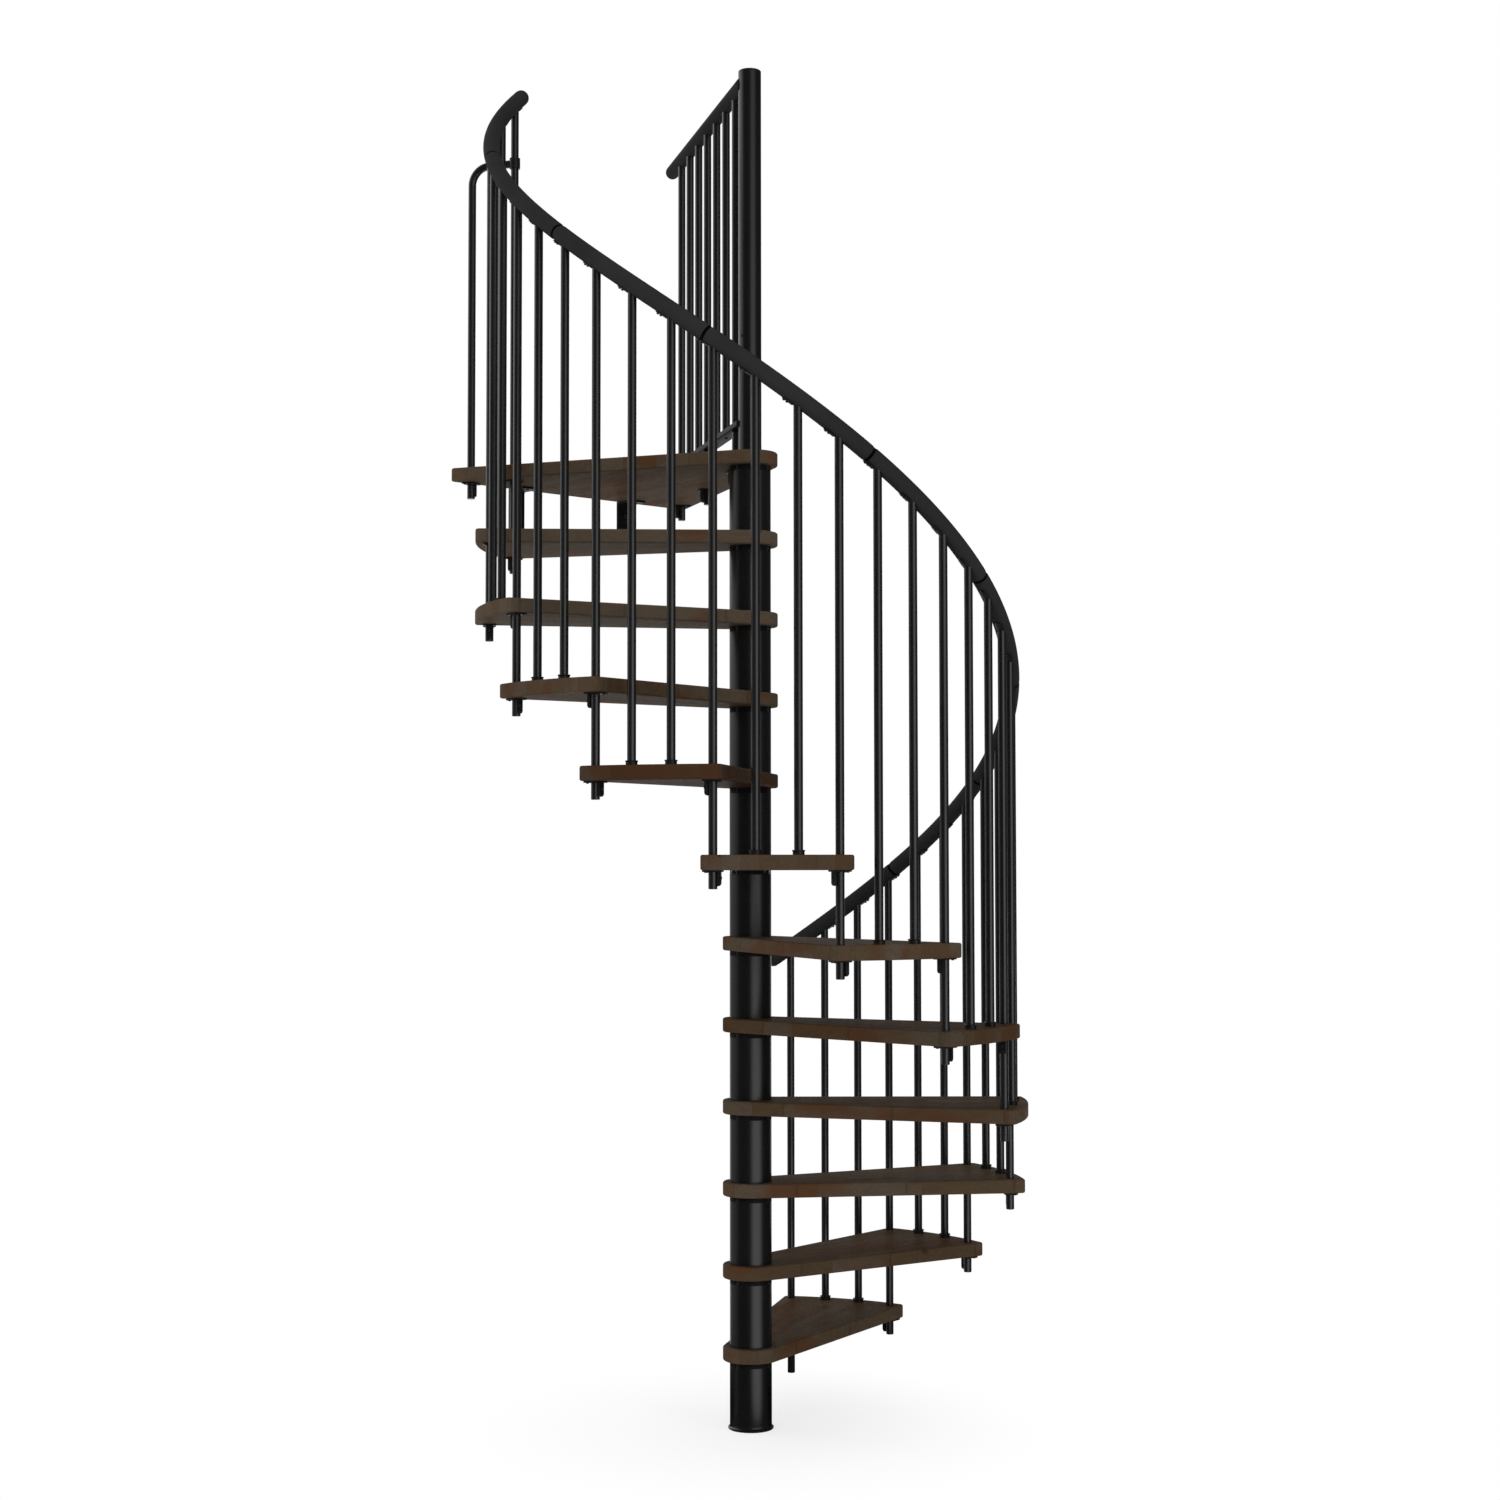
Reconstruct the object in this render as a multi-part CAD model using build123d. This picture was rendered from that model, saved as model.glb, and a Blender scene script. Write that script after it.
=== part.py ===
from build123d import *
import math
import os

# Counts
tread_count = 11
shorts_per_tread = 2
landing_baluster_count = 7

# Angles in degrees, counter-clockwise from +X seen from above
first_baluster_deg = 80.2
step_deg = 25.37
tread_overhang_deg = 2.0
landing_overhang_deg = 3.1
landing_front_span_deg = 33.3
landing_rear_span_deg = 27.0
landing_rail_inset_deg = 0.8
rail_low_overrun_deg = 4.2
rail_top_overrun_deg = 3.2
rail_seams_deg = (53.3, 23.5, -5.2, -33.8, -65.4, -98.7, -133.2, -167.4)
full_turn_deg = 360

# Stair
rise_height = 210.0
tread_thickness = 36.0
tread_radius = 713.0
tread_corner_radius = 12.0
tread_edge_radius = 5.0
hub_radius = 72.0
baluster_inset = 37.0

# Column
column_diameter = 108.0
column_wall = 4.0
ring_stack = 14.0
pole_diameter = 60.0
pole_wall = 4.0
post_top_height = 32.0
cap_height = 6.0
cap_edge_width = 2.0
flange_diameter = 117.0
flange_height = 14.0
flange_rim_height = 5.0
flange_edge_width = 2.0

# Balusters
baluster_diameter = 21.0
baluster_wall = 2.0
baluster_drop = 44.0
tube_end_radius = 2.0
collar_diameter = 28.0
collar_height = 11.0
collar_rim_width = 1.5
collar_rim_height = 3.5
collar_edge_width = 1.0

# Brackets under the treads
bracket_width = 46.0
bracket_depth = 34.0
bracket_thickness = 4.0
tab_width = 8.5
tab_depth = 16.0
tab_drop = 33.0
tab_corner_radius = 7.5

# Stair handrail
rail_diameter = 42.0
rail_height = 998.0
seam_width = 3.0
seam_diameter = 38.0

# Landing balustrade
landing_rail_diameter = 40.0
landing_rail_height = 976.0
landing_rail_shift = 18.0
landing_rail_end_length = 38.0
landing_baluster_inset = 84.0
landing_post_gap = 48.0
bottom_rail_width = 38.0
bottom_rail_height = 16.0
bottom_rail_lift = 70.0
bottom_rail_end = 25.0
bottom_rail_edge_radius = 3.0

# Closing hoop at the landing corner
hoop_inset = 22.0
hoop_drop = 166.0
hoop_bend_radius = 50.0
clamp_diameter = 29.0
clamp_height = 28.0

# Wall brackets of the landing
wall_bracket_width = 50.0
wall_bracket_drop = 110.0
wall_bracket_leg = 70.0
wall_bracket_thickness = 6.0
wall_bracket_bend_radius = 4.0
wall_bracket_inset = 227.0

# Clearances and cutting tools
fit_gap = 0.3
cutter_share = 3

# Derived values
riser_count = tread_count + 1
landing_top = riser_count * rise_height
landing_under = landing_top - tread_thickness
baluster_circle = tread_radius - baluster_inset
pole_radius = pole_diameter / 2
column_radius = column_diameter / 2
tube_radius = baluster_diameter / 2
rail_radius = rail_diameter / 2
landing_rail_radius = landing_rail_diameter / 2
landing_rail_z = landing_top + landing_rail_height
pole_top = landing_rail_z + post_top_height
last_baluster_deg = first_baluster_deg - tread_count * step_deg
landing_front_deg = last_baluster_deg + landing_overhang_deg
landing_normal_deg = landing_front_deg - landing_front_span_deg
landing_rear_deg = landing_normal_deg - landing_rear_span_deg
landing_rail_deg = landing_rear_deg + landing_rail_inset_deg
rail_mm_per_deg = rise_height / step_deg
rail_pitch = rail_mm_per_deg * full_turn_deg
rail_slope_deg = math.degrees(math.atan2(rise_height, baluster_circle * math.radians(step_deg)))
short_spacing_deg = step_deg / (shorts_per_tread + 1)
landing_edge_reach = tread_radius / math.cos(math.radians(landing_rear_span_deg - landing_rail_inset_deg))
landing_rail_reach = landing_edge_reach + landing_rail_end_length
landing_baluster_reach = landing_edge_reach - landing_baluster_inset
landing_baluster_span = landing_baluster_reach - pole_radius - landing_post_gap
landing_baluster_pitch = landing_baluster_span / (landing_baluster_count - 1)
hoop_edge_reach = tread_radius / math.cos(math.radians(landing_front_span_deg - landing_overhang_deg))
hoop_reach = hoop_edge_reach - hoop_inset
hoop_height = rail_height - hoop_drop


def polar(radius, degrees, height=0):
    angle = math.radians(degrees)
    return Vector(radius * math.cos(angle), radius * math.sin(angle), height)


def turned(degrees):
    return Rot(0, 0, degrees)


def rail_centre(degrees):
    turned_by = first_baluster_deg - degrees
    return rise_height + rail_height + turned_by * rail_mm_per_deg


def baluster_deg(number):
    return first_baluster_deg - number * step_deg


def upright(radius, low, high):
    return Pos(0, 0, low) * Cylinder(radius, high - low, align=(Align.CENTER, Align.CENTER, Align.MIN))


def tube(radius, wall, low, high):
    return upright(radius, low, high) - upright(radius - wall, low, high)


# A baluster tube whose lower end is closed and rounded
def closed_tube(low, high):
    bar = upright(tube_radius, low, high)
    bar = fillet(bar.edges().sort_by(Axis.Z)[0], tube_end_radius)
    return bar - upright(tube_radius - baluster_wall, low + baluster_wall, high)


def tangent_deg(corner_radius):
    return math.degrees(math.acos(hub_radius / corner_radius))


def keep(name, solids):
    shape = Compound(children=solids) if len(solids) > 1 else solids[0]
    export_step(shape, os.path.join("parts", name + ".step"))


def rounded_plate(outline, corners):
    plate = extrude(make_face(outline), -tread_thickness)
    edges = []
    for edge in plate.edges().filter_by(Axis.Z):
        middle = edge.center()
        near = [(Vector(middle.X, middle.Y, 0) - corner).length for corner in corners]
        if min(near) < tread_corner_radius:
            edges.append(edge)
    plate = fillet(edges, tread_corner_radius)
    faces = plate.faces().sort_by(Axis.Z)
    return fillet(faces[0].edges() + faces[-1].edges(), tread_edge_radius)


def drilled(plate, centres, radius):
    for centre in centres:
        plate = plate - Pos(centre.X, centre.Y, 0) * upright(radius, -tread_thickness, 0)
    return plate


# One tread, its middle on +X and its top at zero height
def tread_shape():
    edge_deg = step_deg / 2 + tread_overhang_deg
    reach = edge_deg + tangent_deg(tread_radius)
    front = polar(tread_radius, edge_deg)
    rear = polar(tread_radius, -edge_deg)
    hub_front = polar(hub_radius, reach)
    hub_rear = polar(hub_radius, -reach)
    outline = Line(hub_front, front)
    outline += ThreePointArc(front, polar(tread_radius, 0), rear)
    outline += Line(rear, hub_rear)
    outline += ThreePointArc(hub_rear, polar(-hub_radius, 0), hub_front)
    plate = rounded_plate(outline, (front, rear))
    holes = (polar(baluster_circle, step_deg / 2), polar(baluster_circle, -step_deg / 2))
    plate = drilled(plate, holes, tube_radius + fit_gap)
    return drilled(plate, (Vector(0, 0, 0),), pole_radius + fit_gap)


def landing_baluster_reaches():
    return [landing_baluster_reach - i * landing_baluster_pitch for i in range(landing_baluster_count)]


# First, middle and last uprights of the landing go through the platform
def goes_through(index):
    return index % ((landing_baluster_count - 1) // 2) == 0


def landing_through_reaches():
    reaches = landing_baluster_reaches()
    return [reaches[i] for i in range(landing_baluster_count) if goes_through(i)]


# A point of the landing's balustrade, whose line passes beside the axis
def landing_rail_place(reach):
    return polar(reach, landing_rail_deg) + polar(landing_rail_shift, landing_rail_deg + 90)


def landing_shape():
    front_radius = tread_radius / math.cos(math.radians(landing_front_span_deg))
    rear_radius = tread_radius / math.cos(math.radians(landing_rear_span_deg))
    front = polar(front_radius, landing_front_deg)
    rear = polar(rear_radius, landing_rear_deg)
    hub_front = polar(hub_radius, landing_front_deg + tangent_deg(front_radius))
    hub_rear = polar(hub_radius, landing_rear_deg - tangent_deg(rear_radius))
    outline = Line(hub_front, front)
    outline += Line(front, rear)
    outline += Line(rear, hub_rear)
    outline += ThreePointArc(hub_rear, polar(-hub_radius, landing_normal_deg), hub_front)
    plate = rounded_plate(outline, (front, rear))
    holes = [polar(baluster_circle, last_baluster_deg), polar(hoop_reach, last_baluster_deg)]
    holes += [landing_rail_place(reach) for reach in landing_through_reaches()]
    plate = drilled(plate, holes, tube_radius + fit_gap)
    plate = drilled(plate, (Vector(0, 0, 0),), pole_radius + fit_gap)
    return Pos(0, 0, landing_top) * plate


# The handrail's place at this angle, local Z pointing uphill along it
def rail_frame(degrees):
    aim = Rot(90 - rail_slope_deg, 0, 0)
    return turned(degrees) * Pos(baluster_circle, 0, rail_centre(degrees)) * aim


# A cylinder along the handrail where it crosses an upright at this angle
def rail_cutter(degrees):
    return rail_frame(degrees) * Cylinder(rail_radius + fit_gap, rail_diameter * cutter_share)


def stair_upright(degrees, shape):
    shape = turned(degrees) * Pos(baluster_circle, 0, 0) * shape - rail_cutter(degrees)
    return shape.solids().sort_by(Axis.Z)[0]


def long_balusters():
    shapes = []
    for number in range(riser_count):
        low = 0
        if number > 0:
            low = number * rise_height - tread_thickness - baluster_drop
        degrees = baluster_deg(number)
        shapes.append(stair_upright(degrees, closed_tube(low, rail_centre(degrees))))
    return shapes


def short_places():
    places = []
    for number in range(tread_count):
        for index in range(shorts_per_tread):
            degrees = baluster_deg(number) - (index + 1) * short_spacing_deg
            places.append((degrees, (number + 1) * rise_height))
    return places


def short_balusters():
    shapes = []
    for degrees, height in short_places():
        shape = tube(tube_radius, baluster_wall, height, rail_centre(degrees))
        shapes.append(stair_upright(degrees, shape))
    return shapes


# A collar with a wider rim at its top, turned from a profile
def collar_shape():
    bore = tube_radius + fit_gap
    body = collar_diameter / 2
    rim = body + collar_rim_width
    rim_low = collar_height - collar_rim_height
    outline = Polyline((bore, 0, 0), (body, 0, 0), (body, 0, rim_low), (rim, 0, rim_low + collar_edge_width),
                       (rim, 0, collar_height - collar_edge_width), (rim - collar_edge_width, 0, collar_height),
                       (bore, 0, collar_height), close=True)
    return revolve(make_face(outline), Axis.Z)


def baluster_collars():
    collar = collar_shape()
    return [turned(degrees) * Pos(baluster_circle, 0, height) * collar for degrees, height in short_places()]


# An angle under a tread, its tab beside the tube on the side given by the sign
def tread_bracket(side):
    plate = Box(bracket_depth, bracket_width, bracket_thickness, align=(Align.CENTER, Align.CENTER, Align.MAX))
    tab_height = bracket_thickness + tab_drop
    tab = Box(tab_depth, tab_width, tab_height, align=(Align.CENTER, Align.MIN, Align.MAX))
    low_edge = tab.edges().filter_by(Axis.X).group_by(Axis.Z)[0].sort_by(Axis.Y)[-1]
    tab = fillet(low_edge, tab_corner_radius)
    tab = Pos(0, tube_radius + fit_gap, 0) * tab
    shape = plate + tab - upright(tube_radius + fit_gap, -tab_height, 0)
    if side < 0:
        shape = turned(180) * shape
    return shape


def baluster_brackets():
    front_shape = tread_bracket(-1)
    rear_shape = tread_bracket(1)
    shapes = []
    for number in range(tread_count):
        under = (number + 1) * rise_height - tread_thickness
        shapes.append(turned(baluster_deg(number)) * Pos(baluster_circle, 0, under) * front_shape)
        shapes.append(turned(baluster_deg(number + 1)) * Pos(baluster_circle, 0, under) * rear_shape)
    for reach in (baluster_circle, hoop_reach):
        shapes.append(turned(last_baluster_deg) * Pos(reach, 0, landing_under) * front_shape)
    for reach in landing_through_reaches():
        shapes.append(turned(landing_rail_deg) * Pos(reach, landing_rail_shift, landing_under) * rear_shape)
    return shapes


# The column: flange, spacers, rings and pole
def base_flange():
    radius = flange_diameter / 2
    foot = Vector(radius, 0, flange_edge_width)
    rim = Vector(radius, 0, flange_rim_height)
    neck = Vector(column_radius, 0, flange_height)
    outline = Polyline((0, 0, flange_height), (0, 0, 0), (radius - flange_edge_width, 0, 0), foot, rim)
    outline += Bezier(rim, (column_radius, 0, flange_rim_height), neck)
    outline += Line(neck, (0, 0, flange_height))
    return revolve(make_face(outline), Axis.Z)


def column_spacers():
    shapes = []
    for number in range(riser_count):
        low = number * rise_height
        if number == 0:
            low = flange_height
        high = (number + 1) * rise_height - tread_thickness - ring_stack
        shapes.append(tube(column_radius, column_wall, low, high))
    return shapes


def adjusting_rings():
    wall = column_radius - pole_radius - fit_gap
    shapes = []
    for number in range(riser_count):
        high = (number + 1) * rise_height - tread_thickness
        shapes.append(tube(column_radius, wall, high - ring_stack, high))
    return shapes


def post_cap():
    disc = upright(pole_radius, pole_top, pole_top + cap_height)
    return chamfer(disc.edges().sort_by(Axis.Z)[-1], cap_edge_width)


# The handrail: swept pieces between seams, rings in the seams, round ends
def rail_piece(start_deg, end_deg):
    height = (start_deg - end_deg) * rail_mm_per_deg
    path = Helix(rail_pitch, height, baluster_circle, lefthand=True)
    section = Plane(path @ 0, z_dir=path % 0) * Circle(rail_radius)
    piece = sweep(section, path=path, is_frenet=True)
    return turned(start_deg) * Pos(0, 0, rail_centre(start_deg)) * piece


def rail_bounds():
    low = first_baluster_deg + rail_low_overrun_deg
    high = last_baluster_deg - rail_top_overrun_deg
    return low, high


def seam_half_deg():
    return math.degrees(seam_width / 2 * math.cos(math.radians(rail_slope_deg)) / baluster_circle)


def handrail_segments():
    low, high = rail_bounds()
    starts = [low] + [seam - seam_half_deg() for seam in rail_seams_deg]
    ends = [seam + seam_half_deg() for seam in rail_seams_deg] + [high]
    return [rail_piece(start, end) for start, end in zip(starts, ends)]


def handrail_seam_rings():
    ring = Cylinder(seam_diameter / 2, seam_width - fit_gap)
    return [rail_frame(seam) * ring for seam in rail_seams_deg]


def handrail_end_caps():
    low, high = rail_bounds()
    ball = Sphere(rail_radius)
    side = rail_diameter * cutter_share
    half = ball - Box(side, side, side, align=(Align.CENTER, Align.CENTER, Align.MIN))
    return [rail_frame(low) * half, rail_frame(high) * Rot(180, 0, 0) * half]


# The landing balustrade, drawn along +X and turned into place
def landing_rail():
    bar = Rot(0, 90, 0) * upright(landing_rail_radius, 0, landing_rail_reach)
    bar = bar + Pos(landing_rail_reach, 0, 0) * Sphere(landing_rail_radius)
    bar = Pos(0, landing_rail_shift, 0) * bar
    bar = bar - upright(pole_radius + fit_gap, -landing_rail_diameter, landing_rail_diameter)
    bar = bar.solids().sort_by(Axis.X)[-1]
    return turned(landing_rail_deg) * Pos(0, 0, landing_rail_z) * bar


def landing_balusters():
    cutter = Rot(0, 90, 0) * Cylinder(landing_rail_radius + fit_gap, landing_rail_reach * cutter_share)
    cutter = Pos(0, 0, landing_rail_z) * cutter
    shapes = []
    for index, reach in enumerate(landing_baluster_reaches()):
        low = landing_top + bottom_rail_lift + bottom_rail_height
        shape = tube(tube_radius, baluster_wall, low, landing_rail_z)
        if goes_through(index):
            shape = closed_tube(landing_under - baluster_drop, landing_rail_z)
        shape = (Pos(reach, 0, 0) * shape - cutter).solids().sort_by(Axis.Z)[0]
        shapes.append(turned(landing_rail_deg) * Pos(0, landing_rail_shift, 0) * shape)
    return shapes


def landing_bottom_rail():
    length = landing_baluster_reach + bottom_rail_end
    low = landing_top + bottom_rail_lift
    section = Plane.YZ * RectangleRounded(bottom_rail_width, bottom_rail_height, bottom_rail_edge_radius)
    bar = Pos(0, landing_rail_shift, low + bottom_rail_height / 2) * extrude(section, length)
    bar = bar - upright(pole_radius + fit_gap, low, low + bottom_rail_height)
    reaches = landing_baluster_reaches()
    for index in range(landing_baluster_count):
        if goes_through(index):
            hole = upright(tube_radius + fit_gap, low, low + bottom_rail_height)
            bar = bar - Pos(reaches[index], landing_rail_shift, 0) * hole
    bar = bar.solids().sort_by(Axis.X)[-1]
    return turned(landing_rail_deg) * bar


# The hoop, drawn in the XZ plane and turned into place
def closing_hoop():
    top = landing_top + hoop_height
    low = landing_under - baluster_drop
    leg = Line((hoop_reach, 0, low), (hoop_reach, 0, top - hoop_bend_radius))
    bend_start = leg @ 1
    bend_end = Vector(hoop_reach - hoop_bend_radius, 0, top)
    bend_mid_shift = hoop_bend_radius * math.cos(math.radians(45))
    bend_centre = Vector(hoop_reach - hoop_bend_radius, 0, top - hoop_bend_radius)
    bend_mid = bend_centre + Vector(bend_mid_shift, 0, bend_mid_shift)
    bend = ThreePointArc(bend_start, bend_mid, bend_end)
    arm = Line(bend_end, (baluster_circle, 0, top))
    path = leg + bend + arm
    start = Plane(leg @ 0, z_dir=leg % 0)
    outer = sweep(start * Circle(tube_radius), path=path)
    inner = sweep(start * Circle(tube_radius - baluster_wall), path=path)
    pipe = outer - inner + Pos(hoop_reach, 0, 0) * upright(tube_radius, low, low + baluster_wall)
    clamp = upright(clamp_diameter / 2 + fit_gap, top - clamp_height, top + clamp_height)
    pipe = pipe - Pos(baluster_circle, 0, 0) * clamp
    pipe = pipe.solids().sort_by(Axis.X)[-1]
    return turned(last_baluster_deg) * pipe


def hoop_clamp():
    wall = (clamp_diameter - baluster_diameter) / 2 - fit_gap
    middle = landing_top + hoop_height
    ring = tube(clamp_diameter / 2, wall, middle - clamp_height / 2, middle + clamp_height / 2)
    return turned(last_baluster_deg) * Pos(baluster_circle, 0, 0) * ring


# Angles that hold the landing's far edge to the floor slab
def wall_brackets():
    inner = -wall_bracket_thickness
    outline = Polyline((0, 0, 0), (0, 0, -wall_bracket_drop), (inner, 0, -wall_bracket_drop), (inner, 0, inner),
                       (-wall_bracket_leg, 0, inner), (-wall_bracket_leg, 0, 0), close=True)
    angle = extrude(make_face(outline), wall_bracket_width / 2, both=True)
    bend = angle.edges().filter_by(Axis.Y).sort_by_distance((inner, 0, inner))[0]
    angle = fillet(bend, wall_bracket_bend_radius)
    front_length = tread_radius * math.tan(math.radians(landing_front_span_deg))
    rear_length = tread_radius * math.tan(math.radians(landing_rear_span_deg))
    shifts = (front_length - wall_bracket_inset, wall_bracket_inset - rear_length)
    place = turned(landing_normal_deg)
    return [place * Pos(tread_radius, shift, landing_under) * angle for shift in shifts]


os.makedirs("parts", exist_ok=True)
keep("base_flange", [base_flange()])
keep("column_spacers", column_spacers())
keep("adjusting_rings", adjusting_rings())
keep("center_pole", [tube(pole_radius, pole_wall, flange_height, pole_top)])
keep("post_cap", [post_cap()])
tread = tread_shape()
for number in range(tread_count):
    middle_deg = baluster_deg(number) - step_deg / 2
    placed = turned(middle_deg) * Pos(0, 0, (number + 1) * rise_height) * tread
    keep("tread_{:02d}".format(number + 1), [placed])
keep("landing_platform", [landing_shape()])
keep("long_balusters", long_balusters())
keep("short_balusters", short_balusters())
keep("baluster_collars", baluster_collars())
keep("baluster_brackets", baluster_brackets())
keep("handrail_segments", handrail_segments())
keep("handrail_seam_rings", handrail_seam_rings())
keep("handrail_end_caps", handrail_end_caps())
keep("landing_handrail", [landing_rail()])
keep("landing_balusters", landing_balusters())
keep("landing_bottom_rail", [landing_bottom_rail()])
keep("closing_hoop", [closing_hoop()])
keep("hoop_clamp", [hoop_clamp()])
keep("landing_wall_brackets", wall_brackets())
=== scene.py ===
import logging
import math
from dataclasses import dataclass
from enum import Enum
from typing import Callable, ClassVar, Mapping, Sequence

import bmesh
import bpy
from bpy.types import Material, Mesh, Node, NodeSocket, NodeTree
from mathutils import Euler, Matrix, Vector


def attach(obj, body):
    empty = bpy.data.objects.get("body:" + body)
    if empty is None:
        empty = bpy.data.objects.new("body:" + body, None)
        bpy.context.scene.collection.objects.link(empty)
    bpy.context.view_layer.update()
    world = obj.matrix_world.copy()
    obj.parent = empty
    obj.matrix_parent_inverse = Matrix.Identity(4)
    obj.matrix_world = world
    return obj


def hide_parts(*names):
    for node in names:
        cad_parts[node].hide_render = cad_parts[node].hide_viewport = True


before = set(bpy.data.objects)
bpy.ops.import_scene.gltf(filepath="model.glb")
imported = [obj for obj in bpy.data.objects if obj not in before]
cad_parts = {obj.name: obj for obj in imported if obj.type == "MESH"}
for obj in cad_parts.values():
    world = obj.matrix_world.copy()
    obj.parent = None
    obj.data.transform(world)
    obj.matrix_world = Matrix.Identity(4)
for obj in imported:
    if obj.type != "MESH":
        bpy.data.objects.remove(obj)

LOG = logging.getLogger("spiral_stair")
BODY = "root"
SHARP_ANGLE = math.radians(38.0)
UP = Vector((0.0, 0.0, 1.0))

Place = tuple[Vector, Euler]
Span = tuple[float, float]
Triple = tuple[float, float, float]
Colour = tuple[float, float, float]
Sockets = Mapping[str, NodeSocket]


class Slot(Enum):
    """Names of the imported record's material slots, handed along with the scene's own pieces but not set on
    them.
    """

    COLUMN = "column_paint"
    BALUSTER = "baluster_paint"
    BRACKET = "bracket_paint"
    RING = "ring_plastic"
    CAP = "cap_plastic"
    RAIL = "rail_plastic"


class TreeKind(Enum):
    """Kinds of node trees, by Blender's names."""

    SHADER = "ShaderNodeTree"
    GEOMETRY = "GeometryNodeTree"


# Shared sizes and places


@dataclass(frozen=True)
class StairPlan:
    """Sizes of the staircase that its sub-assemblies share, in metres and degrees."""

    tread_count: int = 11
    shorts_per_tread: int = 2
    first_deg: float = 80.2
    step_deg: float = 25.37
    rise: float = 0.210
    thickness: float = 0.036
    tread_radius: float = 0.713
    circle: float = 0.676
    column_radius: float = 0.054
    pole_radius: float = 0.030
    rail_radius: float = 0.021
    rail_height: float = 0.998
    landing_overhang_deg: float = 3.1
    landing_front_span_deg: float = 33.3
    landing_rear_span_deg: float = 27.0
    landing_rail_inset_deg: float = 0.8
    landing_rail_shift: float = 0.018
    landing_uprights: int = 7
    landing_upright_inset: float = 0.084
    landing_post_gap: float = 0.048
    hoop_inset: float = 0.022

    @property
    def riser_count(self) -> int:
        """Number of rises from the floor to the landing."""
        return self.tread_count + 1

    @property
    def landing_top(self) -> float:
        """Height of the landing's walking face."""
        return self.riser_count * self.rise

    @property
    def landing_under(self) -> float:
        """Height of the landing's lower face."""
        return self.under_z(self.tread_count)

    @property
    def last_deg(self) -> float:
        """Angle of the last long baluster."""
        return self.baluster_deg(self.tread_count)

    @property
    def landing_normal_deg(self) -> float:
        """Angle at which the landing's far edge faces."""
        return self.last_deg + self.landing_overhang_deg - self.landing_front_span_deg

    @property
    def landing_rail_deg(self) -> float:
        """Angle of the landing's balustrade."""
        return self.landing_normal_deg - self.landing_rear_span_deg + self.landing_rail_inset_deg

    @property
    def hoop_reach(self) -> float:
        """Distance of the closing hoop's outer leg from the axis."""
        return self.edge_reach(self.landing_front_span_deg - self.landing_overhang_deg) - self.hoop_inset

    @property
    def slope(self) -> float:
        """Slope of the handrail in radians."""
        return math.atan2(self.rise, self.circle * math.radians(self.step_deg))

    def edge_reach(self, degrees: float) -> float:
        """Distance of the landing's far edge, at an angle from where it faces."""
        return self.tread_radius / math.cos(math.radians(degrees))

    def under_z(self, number: int) -> float:
        """Height of a board's lower face, counted from the floor."""
        return (number + 1) * self.rise - self.thickness

    def baluster_deg(self, number: int) -> float:
        """Angle of a long baluster, counted from the floor."""
        return self.first_deg - number * self.step_deg

    def tread_deg(self, number: int) -> float:
        """Angle of a tread's middle, counted from the floor."""
        return self.baluster_deg(number) - self.step_deg / 2

    def rail_z(self, degrees: float) -> float:
        """Height of the handrail's centre line at this angle."""
        return self.rise + self.rail_height + (self.first_deg - degrees) * self.rise / self.step_deg

    def landing_rail_spot(self, reach: float, height: float) -> Vector:
        """A point of the landing's balustrade, whose line passes beside the axis."""
        beside = polar(self.landing_rail_shift, self.landing_rail_deg + 90.0)
        return polar(reach, self.landing_rail_deg, height) + beside

    def landing_reaches(self, through: bool) -> list[float]:
        """Lists where uprights of the landing's balustrade stand.

        Args:
            through: True for the first, middle and last, which go through the landing, and False for the
                others, which stand on the bottom bar.

        Returns:
            Their distances from the axis.
        """
        edge = self.edge_reach(self.landing_rear_span_deg - self.landing_rail_inset_deg)
        first = edge - self.landing_upright_inset
        gaps = self.landing_uprights - 1
        pitch = (first - self.pole_radius - self.landing_post_gap) / gaps
        numbers = [number for number in range(gaps + 1) if (number % (gaps // 2) == 0) == through]
        return [first - number * pitch for number in numbers]

    def upright_degs(self) -> list[float]:
        """Lists where the uprights stand.

        Returns:
            Angles of the long balusters, and then of the short ones.
        """
        longs = [self.baluster_deg(number) for number in range(self.riser_count)]
        spacing = self.step_deg / (self.shorts_per_tread + 1)
        shifts = [(index + 1) * spacing for index in range(self.shorts_per_tread)]
        return longs + [start - shift for start in longs[:self.tread_count] for shift in shifts]


PLAN = StairPlan()


def polar(radius: float, degrees: float, height: float = 0.0) -> Vector:
    """A point at this radius, angle and height."""
    angle = math.radians(degrees)
    return Vector((radius * math.cos(angle), radius * math.sin(angle), height))


def outward(degrees: float) -> Vector:
    """The unit vector that points away from the axis at this angle."""
    return polar(1.0, degrees)


def sideways(degrees: float) -> Vector:
    """The unit vector along the circle, counter-clockwise seen from above."""
    return polar(1.0, degrees + 90.0)


def facing(direction: Vector) -> Euler:
    """The turn that brings local Z to this direction."""
    return direction.to_track_quat("Z", "Y").to_euler()


def framed(along: Vector, up: Vector) -> Euler:
    """The turn that brings local X along one direction and local Z near another.

    Args:
        along: Direction of local X.
        up: Direction that local Z comes nearest to.

    Returns:
        The turn as Euler angles.
    """
    x_axis = along.normalized()
    y_axis = up.cross(x_axis).normalized()
    z_axis = x_axis.cross(y_axis)
    return Matrix((x_axis, y_axis, z_axis)).transposed().to_euler()


# Node helpers


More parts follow.
